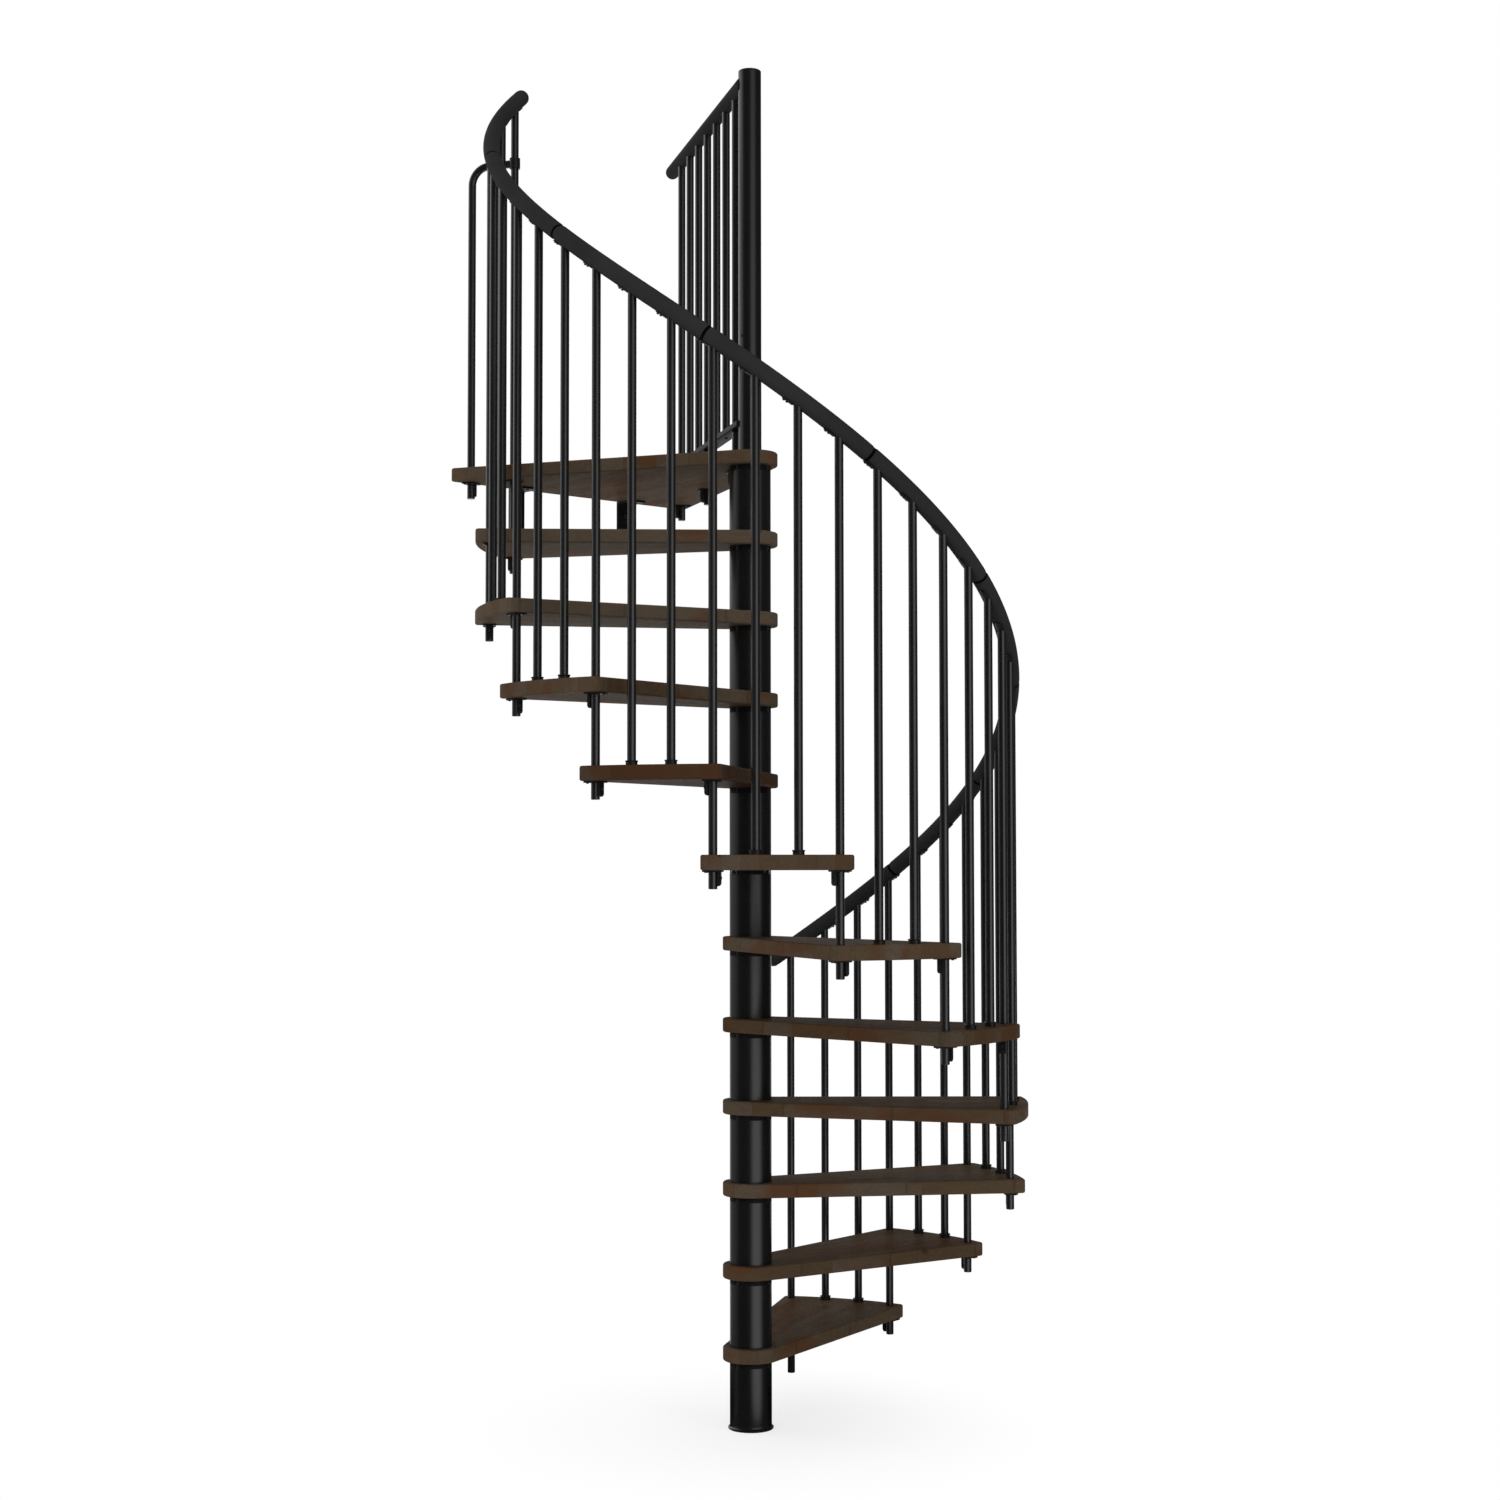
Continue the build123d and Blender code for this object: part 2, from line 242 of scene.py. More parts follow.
class Wiring:
    """Short ways to add and join nodes in one tree."""

    # Sockets of a Mix node for colours: its factor and both colours, and its result
    mix_inputs: ClassVar[tuple[int, ...]] = (0, 6, 7)
    mix_output: ClassVar[int] = 2

    def __init__(self, tree: NodeTree) -> None:
        """Keeps the tree that the nodes go into."""
        self.tree = tree

    def feed(self, socket: NodeSocket, value: object) -> None:
        """Links a socket to an input, or sets its value. A colour gets its alpha here.

        Args:
            socket: The input.
            value: The socket to link, or the plain value.
        """
        if isinstance(value, NodeSocket):
            self.tree.links.new(value, socket)
        else:
            socket.default_value = (*value, 1.0) if socket.type == "RGBA" else value

    def fill(self, node: Node, **given: object) -> Node:
        """Sets properties and inputs of a node.

        Args:
            node: The node.
            given: In lower case, the node's properties. Otherwise values or sockets for its inputs, under
                their names with _ for a space.

        Returns:
            The same node.
        """
        for name in filter(str.islower, given):
            setattr(node, name, given[name])
        for name, value in given.items():
            if not name.islower():
                self.feed(node.inputs[name.replace("_", " ")], value)
        return node

    def node(self, kind: str, **given: object) -> Node:
        """Adds a node and fills it with what is given."""
        return self.fill(self.tree.nodes.new(kind), **given)

    def row(self, kind: str, values: Sequence[object], **settings: object) -> Node:
        """Adds a node whose inputs are given in order.

        Args:
            kind: Blender's name of the node type.
            values: Values or sockets for its inputs.
            settings: Properties of the node.

        Returns:
            The new node.
        """
        made = self.node(kind, **settings)
        for socket, value in zip(made.inputs, values):
            self.feed(socket, value)
        return made

    def geo(self, kind: str, **given: object) -> NodeSocket:
        """The first output of a new Geometry Nodes node."""
        return self.node("GeometryNode" + kind, **given).outputs[0]

    def group(self, tree: NodeTree, **given: object) -> Sockets:
        """The outputs of a new shader node group."""
        return self.node("ShaderNodeGroup", node_tree=tree, **given).outputs

    def math(self, operation: str, *values: object) -> NodeSocket:
        """A Math node's result."""
        return self.row("ShaderNodeMath", values, operation=operation).outputs[0]

    def vector(self, operation: str, *values: object) -> NodeSocket:
        """A Vector Math node's vector."""
        return self.row("ShaderNodeVectorMath", values, operation=operation).outputs["Vector"]

    def measure(self, operation: str, *values: object) -> NodeSocket:
        """A Vector Math node's number."""
        return self.row("ShaderNodeVectorMath", values, operation=operation).outputs["Value"]

    def split(self, vector: NodeSocket) -> Sockets:
        """The X, Y and Z parts of a vector."""
        return self.node("ShaderNodeSeparateXYZ", Vector=vector).outputs

    def combine(self, **parts: object) -> NodeSocket:
        """A vector put together from its X, Y and Z parts."""
        return self.node("ShaderNodeCombineXYZ", **parts).outputs[0]

    def ease(self, value: object, low: float, high: float, to_low: float = 0.0,
             to_high: float = 1.0) -> NodeSocket:
        """A smooth step of a value from one range to another."""
        return self.node("ShaderNodeMapRange", interpolation_type="SMOOTHSTEP", Value=value, From_Min=low,
                         From_Max=high, To_Min=to_low, To_Max=to_high).outputs["Result"]

    def noise(self, place: NodeSocket, scale: object, detail: float, roughness: float) -> NodeSocket:
        """A noise texture's value."""
        return self.node("ShaderNodeTexNoise", Vector=place, Scale=scale, Detail=detail,
                         Roughness=roughness).outputs["Fac"]

    def bump(self, height: NodeSocket, strength: float, depth: float) -> NodeSocket:
        """A normal bumped by a height."""
        return self.node("ShaderNodeBump", Height=height, Strength=strength, Distance=depth).outputs["Normal"]

    def blend(self, share: object, first: object, second: object, how: str = "MIX") -> NodeSocket:
        """A colour mix's result.

        Args:
            share: How much of the second colour is mixed in.
            first: The first colour.
            second: The second colour.
            how: Blender's name of the way of mixing.

        Returns:
            The socket of the mixed colour.
        """
        made = self.node("ShaderNodeMix", data_type="RGBA", blend_type=how)
        for index, value in zip(self.mix_inputs, (share, first, second)):
            self.feed(made.inputs[index], value)
        return made.outputs[self.mix_output]

    def ramp(self, value: NodeSocket, stops: Sequence[tuple[float, Colour]]) -> NodeSocket:
        """A colour ramp's colour.

        Args:
            value: The value that runs along the ramp.
            stops: Places and colours on the ramp.

        Returns:
            The colour socket.
        """
        made = self.node("ShaderNodeValToRGB", Fac=value)
        elements = made.color_ramp.elements
        while len(elements) < len(stops):
            elements.new(0.5)
        for element, (place, colour) in zip(elements, stops):
            element.position = place
            element.color = (*colour, 1.0)
        return made.outputs["Color"]


SOCKET_KINDS = {float: "NodeSocketFloat", int: "NodeSocketInt", Vector: "NodeSocketVector",
                Mesh: "NodeSocketGeometry", Material: "NodeSocketMaterial"}
OUTPUT_KINDS = {TreeKind.SHADER: SOCKET_KINDS[float], TreeKind.GEOMETRY: SOCKET_KINDS[Mesh]}


def new_tree(name: str, kind: TreeKind, inputs: dict[str, object],
             outputs: Sequence[str]) -> tuple[NodeTree, Wiring, Sockets, Sockets]:
    """Starts a node tree with named sockets.

    Args:
        name: Name of the tree.
        kind: What the tree is for.
        inputs: Each input's default by name, or its type where it has no default.
        outputs: Names of the outputs.

    Returns:
        The tree, its wiring, the sockets that give its inputs and those that take its outputs.
    """
    tree = bpy.data.node_groups.new(name, kind.value)
    for label, default in inputs.items():
        bare = isinstance(default, type)
        socket_type = SOCKET_KINDS[default if bare else type(default)]
        socket = tree.interface.new_socket(name=label, in_out="INPUT", socket_type=socket_type)
        if not bare:
            socket.default_value = default
    for label in outputs:
        tree.interface.new_socket(name=label, in_out="OUTPUT", socket_type=OUTPUT_KINDS[kind])
    wiring = Wiring(tree)
    return tree, wiring, wiring.node("NodeGroupInput").outputs, wiring.node("NodeGroupOutput").inputs


@dataclass(frozen=True)
class WoodFigure:
    """Scales and shares of the wood's figure. A scale runs along, across and through a stave."""

    seed_spread: float = 17.3
    block_shift: Triple = (7.0, 3.0, 5.0)
    glue_edge: Span = (0.0009, 0.0002)
    streak_scale: Triple = (2.2, 38.0, 26.0)
    wave_scale: Triple = (5.0, 16.0, 12.0)
    wave_bands: float = 26.0
    streak_bands: float = 6.0
    band_share: float = 0.35
    pore_scale: Triple = (45.0, 900.0, 900.0)
    pore_edge: Span = (0.58, 0.72)
    knot_scale: Triple = (4.0, 7.0, 7.0)
    knot_edge: Span = (0.12, 0.07)
    knot_raggedness: float = 0.05
    streak_height: float = 0.35
    pore_height: float = -0.5
    glue_height: float = -1.0


class Effects:
    """Shader effects that several finishes share, each a node group built once."""

    noise_middle: ClassVar[Span] = (0.3, 0.7)
    cloud_height: ClassVar[float] = 0.4
    # Lighter edges, partly edge wear and partly a painted highlight: how sharp an edge counts, and the
    # patches it shows in
    edge_cosines: ClassVar[Span] = (0.985, 0.87)
    wear_patches: ClassVar[Span] = (0.4, 0.62)
    wear_scale: ClassVar[float] = 45.0

    def __init__(self) -> None:
        """Builds the groups."""
        self.mottle = self._mottle()
        self.edges = self._edge_wear_sheen()
        self.staves = self._staves(WoodFigure())

    def _mottle(self) -> NodeTree:
        """Soft cloudiness and a fine skin for paint and plastic.

        Returns:
            The node group.
        """
        inputs = {"Vector": Vector, "Cloud Scale": 6.0, "Skin Scale": 500.0}
        outputs = ("Cloud", "Skin", "Height")
        tree, wiring, given, results = new_tree("surface_mottle", TreeKind.SHADER, inputs, outputs)
        cloud = wiring.noise(given["Vector"], given["Cloud Scale"], detail=4.0, roughness=0.55)
        skin = wiring.noise(given["Vector"], given["Skin Scale"], detail=2.0, roughness=0.5)
        wiring.feed(results["Cloud"], wiring.ease(cloud, *self.noise_middle))
        wiring.feed(results["Skin"], skin)
        wiring.feed(results["Height"], wiring.math("MULTIPLY_ADD", cloud, self.cloud_height, skin))
        return tree

    def _edge_wear_sheen(self) -> NodeTree:
        """A mask of the lighter edges of a piece: edge wear in patches, and partly a painted highlight along
        the edges.

        Returns:
            The node group.
        """
        inputs = {"Vector": Vector, "Width": 0.002, "Amount": 0.5}
        tree, wiring, given, results = new_tree("edge_wear_and_painted_sheen", TreeKind.SHADER, inputs, ("Mask",))
        rounded = wiring.node("ShaderNodeBevel", samples=4, Radius=given["Width"]).outputs["Normal"]
        plain = wiring.node("ShaderNodeNewGeometry").outputs["Normal"]
        # Painted highlight and edge wear: edges found by the bevelled normal get the lighter colour, in
        # patches
        edge = wiring.ease(wiring.measure("DOT_PRODUCT", rounded, plain), *self.edge_cosines)
        patches = wiring.noise(given["Vector"], self.wear_scale, detail=5.0, roughness=0.6)
        worn_sheen = wiring.math("MULTIPLY", edge, wiring.ease(patches, *self.wear_patches))
        wiring.feed(results["Mask"], wiring.math("MULTIPLY", worn_sheen, given["Amount"]))
        return tree

    def _staves(self, wood: WoodFigure) -> NodeTree:
        """Glued staves of wood: block tones, glue lines, grain, pores, knots and height.

        Args:
            wood: Scales and shares of the figure.

        Returns:
            The node group.
        """
        inputs = {"Vector": Vector, "Stave Width": 0.042, "Block Length": 0.36, "Seed": 0.0}
        outputs = ("Tone", "Hue", "Glue", "Streak", "Pore", "Knot", "Height")
        tree, wiring, given, results = new_tree("wood_staves", TreeKind.SHADER, inputs, outputs)
        place = given["Vector"]
        parts = wiring.split(place)
        row_place = wiring.math("DIVIDE", parts["Y"], given["Stave Width"])
        row = wiring.math("FLOOR", row_place)
        row_seed = wiring.math("MULTIPLY_ADD", given["Seed"], wood.seed_spread, row)
        row_shift = wiring.node("ShaderNodeTexWhiteNoise", noise_dimensions="1D", W=row_seed).outputs["Value"]
        column_place = wiring.math("DIVIDE", parts["X"], given["Block Length"])
        column_place = wiring.math("ADD", column_place, row_shift)
        cell = wiring.combine(X=row, Y=wiring.math("FLOOR", column_place), Z=given["Seed"])
        block = wiring.node("ShaderNodeTexWhiteNoise", noise_dimensions="3D", Vector=cell).outputs
        across = wiring.math("MULTIPLY", wiring.math("PINGPONG", row_place, 0.5), given["Stave Width"])
        along = wiring.math("MULTIPLY", wiring.math("PINGPONG", column_place, 0.5), given["Block Length"])
        glue = wiring.ease(wiring.math("MINIMUM", across, along), *wood.glue_edge)
        moved = wiring.vector("ADD", place, wiring.vector("MULTIPLY", block["Color"], wood.block_shift))

        def stretched(scale: Triple) -> NodeSocket:
            """The place within a block, stretched by a scale."""
            return wiring.vector("MULTIPLY", moved, scale)

        streak = wiring.noise(stretched(wood.streak_scale), scale=1.0, detail=6.0, roughness=0.62)
        waves = wiring.noise(stretched(wood.wave_scale), scale=1.0, detail=3.0, roughness=0.5)
        ripple = wiring.math("MULTIPLY", streak, wood.streak_bands)
        bands = wiring.math("PINGPONG", wiring.math("MULTIPLY_ADD", waves, wood.wave_bands, ripple), 1.0)
        plain = wiring.math("MULTIPLY", streak, 1.0 - wood.band_share)
        streak = wiring.math("MULTIPLY_ADD", bands, wood.band_share, plain)
        pore = wiring.noise(stretched(wood.pore_scale), scale=1.0, detail=2.0, roughness=0.5)
        pore = wiring.ease(pore, *wood.pore_edge)
        spots = wiring.node("ShaderNodeTexVoronoi", Vector=stretched(wood.knot_scale), Scale=1.0).outputs
        ragged = wiring.math("MULTIPLY_ADD", streak, wood.knot_raggedness, spots["Distance"])
        knot = wiring.ease(ragged, *wood.knot_edge)
        height = wiring.math("MULTIPLY", streak, wood.streak_height)
        height = wiring.math("MULTIPLY_ADD", glue, wood.glue_height, height)
        height = wiring.math("MULTIPLY_ADD", pore, wood.pore_height, height)
        hue = wiring.split(block["Color"])["X"]
        for name, value in zip(outputs, (block["Value"], hue, glue, streak, pore, knot, height)):
            wiring.feed(results[name], value)
        return tree


# Finishes


def new_material(name: str) -> tuple[Material, Wiring, Node, NodeSocket]:
    """Starts a material.

    Args:
        name: Name of the material.

    Returns:
        The material, its wiring, its shader node and its object coordinates.
    """
    material = bpy.data.materials.new(name)
    material.use_nodes = True
    wiring = Wiring(material.node_tree)
    shader = material.node_tree.nodes["Principled BSDF"]
    return material, wiring, shader, wiring.node("ShaderNodeTexCoord").outputs["Object"]


@dataclass(frozen=True)
class DarkFinish:
    """A black paint or plastic with cloudiness, a fine skin and lighter edges, partly edge wear and partly a
    painted highlight.
    """

    name: str
    dark: Colour
    light: Colour
    # Colour of the lighter edges: worn paint, and partly a painted highlight
    worn_sheen: Colour
    roughness: float
    roughness_spread: float
    specular: float
    cloud_scale: float
    skin_scale: float
    skin_depth: float
    edge_width: float
    edge_amount: float
    metallic: float = 0.0
    skin_strength: float = 0.35

    def material(self, effects: Effects) -> Material:
        """Builds the material.

        Args:
            effects: The shared shader effects.

        Returns:
            The material.
        """
        material, wiring, shader, place = new_material(self.name)
        mottle = wiring.group(effects.mottle, Vector=place, Cloud_Scale=self.cloud_scale,
                              Skin_Scale=self.skin_scale)
        edges = wiring.group(effects.edges, Vector=place, Width=self.edge_width, Amount=self.edge_amount)
        base = wiring.blend(mottle["Cloud"], self.dark, self.light)
        # Lighter edges: edge wear, and partly a painted highlight along the edges
        base = wiring.blend(edges["Mask"], base, self.worn_sheen)
        low = self.roughness - self.roughness_spread
        high = self.roughness + self.roughness_spread
        rough = wiring.ease(mottle["Skin"], *effects.noise_middle, low, high)
        normal = wiring.bump(mottle["Height"], self.skin_strength, self.skin_depth)
        wiring.fill(shader, Base_Color=base, Roughness=rough, Specular_IOR_Level=self.specular,
                    Metallic=self.metallic, Normal=normal)
        return material


@dataclass(frozen=True)
class WalnutBlocks:
    """Dark walnut staves under a satin lacquer, turned to the board that wears them.

    The warmth widens the red patches, the lightness scales the colours, and the paleness leaves out the
    browner tones.
    """

    name: str
    turn_deg: float
    seed: float
    warmth: float
    lightness: float
    paleness: float
    stave_width: float = 0.044
    block_length: float = 0.34
    tones: tuple[tuple[float, Colour], ...] = (
        (0.0, (0.056, 0.031, 0.016)),
        (0.3, (0.058, 0.037, 0.021)),
        (0.6, (0.062, 0.045, 0.030)),
        (0.85, (0.067, 0.051, 0.036)),
        (1.0, (0.062, 0.039, 0.023)),
    )
    streak_range: Span = (0.25, 0.75)
    streak_lights: Span = (0.93, 1.06)
    patch_scale: Triple = (3.5, 9.0, 9.0)
    patch_shifts: Triple = (1.3, 2.1, 0.7)
    patch_range: Span = (0.76, 0.92)
    hue_share: float = 0.22
    red: Colour = (0.062, 0.025, 0.010)
    red_share: float = 0.65
    overlays: tuple[tuple[str, float, Colour], ...] = (
        ("Knot", 0.8, (0.014, 0.008, 0.005)),
        ("Pore", 0.14, (0.018, 0.012, 0.008)),
        ("Glue", 0.30, (0.020, 0.013, 0.008)),
    )
    # Colour of the lighter edges: worn lacquer, and partly a painted highlight along the edges
    worn_sheen: Colour = (0.125, 0.080, 0.048)
    edge_width: float = 0.004
    edge_amount: float = 0.45
    roughness_range: Span = (0.2, 0.8)
    roughnesses: Span = (0.53, 0.41)
    specular: float = 0.003
    grain_strength: float = 0.3
    grain_depth: float = 0.0004

    def material(self, effects: Effects) -> Material:
        """Builds the material.

        Args:
            effects: The shared shader effects.

        Returns:
            The material.
        """
        material, wiring, shader, place = new_material(self.name)
        turn = (0.0, 0.0, -math.radians(self.turn_deg))
        turned = wiring.node("ShaderNodeMapping", Vector=place, Rotation=turn).outputs["Vector"]
        staves = wiring.group(effects.staves, Vector=turned, Stave_Width=self.stave_width,
                              Block_Length=self.block_length, Seed=self.seed)
        tone = wiring.math("MULTIPLY_ADD", staves["Tone"], 1.0 - self.paleness, self.paleness)
        lights = [light * self.lightness for light in self.streak_lights]
        streak = wiring.ease(staves["Streak"], *self.streak_range, *lights)
        base = wiring.blend(1.0, wiring.ramp(tone, self.tones), streak, "MULTIPLY")
        shift = tuple(self.seed * share for share in self.patch_shifts)
        spread = wiring.vector("ADD", wiring.vector("MULTIPLY", turned, self.patch_scale), shift)
        patch = wiring.noise(spread, scale=1.0, detail=3.0, roughness=0.5)
        patch = wiring.math("MULTIPLY_ADD", staves["Hue"], self.hue_share, patch)
        edge = [value - self.warmth for value in self.patch_range]
        red = [value * self.lightness for value in self.red]
        base = wiring.blend(wiring.ease(patch, *edge, 0.0, self.red_share), base, red)
        for name, share, colour in self.overlays:
            base = wiring.blend(wiring.math("MULTIPLY", staves[name], share), base, colour)
        # Lighter edges: edge wear, and partly a painted highlight along the edges
        edges = wiring.group(effects.edges, Vector=place, Width=self.edge_width, Amount=self.edge_amount)
        base = wiring.blend(edges["Mask"], base, self.worn_sheen)
        rough = wiring.ease(staves["Streak"], *self.roughness_range, *self.roughnesses)
        normal = wiring.bump(staves["Height"], self.grain_strength, self.grain_depth)
        wiring.fill(shader, Base_Color=base, Roughness=rough, Specular_IOR_Level=self.specular, Normal=normal)
        return material


COLUMN_COAT = DarkFinish(
    "column_coat", dark=(0.0020, 0.0020, 0.0021), light=(0.0032, 0.0032, 0.0033), worn_sheen=(0.03, 0.03, 0.03),
    roughness=0.29, roughness_spread=0.03, specular=0.80, cloud_scale=5.0, skin_scale=1100.0,
    skin_depth=0.000020, edge_width=0.0016, edge_amount=0.25)
BALUSTER_COAT = DarkFinish(
    "baluster_coat", dark=(0.0038, 0.0038, 0.0040), light=(0.0058, 0.0058, 0.0061), worn_sheen=(0.03, 0.03, 0.03),
    roughness=0.26, roughness_spread=0.03, specular=0.92, cloud_scale=9.0, skin_scale=1400.0,
    skin_depth=0.000010, edge_width=0.0012, edge_amount=0.25)
BRACKET_COAT = DarkFinish(
    "bracket_coat", dark=(0.0060, 0.0060, 0.0064), light=(0.0095, 0.0095, 0.0100), worn_sheen=(0.06, 0.06, 0.06),
    roughness=0.45, roughness_spread=0.06, specular=0.10, cloud_scale=25.0, skin_scale=1600.0,
    skin_depth=0.00012, edge_width=0.0010, edge_amount=0.45)
RAIL_SKIN = DarkFinish(
    "rail_skin", dark=(0.0180, 0.0180, 0.0180), light=(0.0225, 0.0225, 0.0225), worn_sheen=(0.04, 0.04, 0.04),
    roughness=0.66, roughness_spread=0.05, specular=0.02, cloud_scale=4.0, skin_scale=2200.0,
    skin_depth=0.00006, edge_width=0.0010, edge_amount=0.15)
# Near-black finish of the handrail's seam rings: real rings, made this dark as painted shade in the gaps of
# the joints
SEAM_RING_PAINTED_SHADE = DarkFinish(
    "seam_ring_painted_shade", dark=(0.0012, 0.0012, 0.0012), light=(0.0022, 0.0022, 0.0022), worn_sheen=(0.01, 0.01, 0.01),
    roughness=0.80, roughness_spread=0.05, specular=0.02, cloud_scale=30.0, skin_scale=2200.0,
    skin_depth=0.00006, edge_width=0.0006, edge_amount=0.10)
RING_NYLON = DarkFinish(
    "ring_nylon", dark=(0.0045, 0.0045, 0.0048), light=(0.0070, 0.0070, 0.0073), worn_sheen=(0.02, 0.02, 0.02),
    roughness=0.50, roughness_spread=0.06, specular=0.15, cloud_scale=20.0, skin_scale=1800.0,
    skin_depth=0.00010, edge_width=0.0006, edge_amount=0.30)
CAP_NYLON = DarkFinish(
    "cap_nylon", dark=(0.0055, 0.0055, 0.0055), light=(0.0085, 0.0085, 0.0085), worn_sheen=(0.03, 0.03, 0.03),
    roughness=0.36, roughness_spread=0.06, specular=0.40, cloud_scale=30.0, skin_scale=2000.0,
    skin_depth=0.00008, edge_width=0.0008, edge_amount=0.25)
SCREW_STEEL = DarkFinish(
    "screw_steel", dark=(0.022, 0.022, 0.023), light=(0.040, 0.040, 0.042), worn_sheen=(0.12, 0.12, 0.12),
    roughness=0.38, roughness_spread=0.08, specular=0.40, cloud_scale=120.0, skin_scale=3000.0,
    skin_depth=0.00005, edge_width=0.0004, edge_amount=0.70, metallic=0.6)
DARK_FINISHES = (COLUMN_COAT, BALUSTER_COAT, BRACKET_COAT, RAIL_SKIN, SEAM_RING_PAINTED_SHADE, RING_NYLON, CAP_NYLON,
                 SCREW_STEEL)


# Making and dressing pieces


def dress(node: str, material: Material) -> None:
    """Gives a CAD node its finish.

    Args:
        node: Name of the node.
        material: The finish.
    """
    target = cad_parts[node]
    if not target.material_slots:
        target.data.materials.append(material)
    for place in target.material_slots:
        place.material = material
    LOG.info("dressed %s", node)


def point_mesh(name: str, places: Sequence[Place]) -> Mesh:
    """Points with a turn each, for a node tree to put things on.

    Args:
        name: Name of the mesh.
        places: Point and turn of each thing.

    Returns:
        The mesh of loose points.
    """
    mesh = bpy.data.meshes.new(name)
    mesh.from_pydata([tuple(point) for point, _ in places], [], [])
    turns = mesh.attributes.new("turn", "FLOAT_VECTOR", "POINT")
    turns.data.foreach_set("vector", [angle for _, turn in places for angle in turn])
    return mesh


def baked(name: str, base: Mesh, tree: NodeTree, values: dict[str, object]) -> Mesh:
    """Runs a node tree once and keeps its result as a plain mesh.

    Args:
        name: Name of the result.
        base: The mesh that the tree starts from.
        tree: The node tree.
        values: Values of its inputs by name.

    Returns:
        The plain mesh.
    """
    holder = bpy.data.objects.new(name + "_nodes", base)
    bpy.context.scene.collection.objects.link(holder)
    modifier = holder.modifiers.new("nodes", "NODES")
    modifier.node_group = tree
    for item in tree.interface.items_tree:
        if item.item_type == "SOCKET" and item.in_out == "INPUT" and item.name in values:
            modifier[item.identifier] = values[item.name]
    graph = bpy.context.evaluated_depsgraph_get()
    mesh = bpy.data.meshes.new_from_object(holder.evaluated_get(graph), preserve_all_data_layers=True,
                                           depsgraph=graph)
    mesh.name = name
    holder.modifiers.remove(modifier)
    bpy.data.objects.remove(holder)
    return mesh


def piece(name: str, mesh: Mesh, replaced: Sequence[str] = ()) -> None:
    """Puts a finished mesh into the scene as a piece of the staircase.

    Args:
        name: Name of the piece.
        mesh: Its mesh, in place.
        replaced: CAD nodes that it stands for.
    """
    mesh.shade_smooth()
    mesh.set_sharp_from_angle(angle=SHARP_ANGLE)
    made = bpy.data.objects.new(name, mesh)
    bpy.context.scene.collection.objects.link(made)
    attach(made, BODY)
    if replaced:
        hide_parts(*replaced)
    LOG.info("piece %s: %d faces", name, len(mesh.polygons))


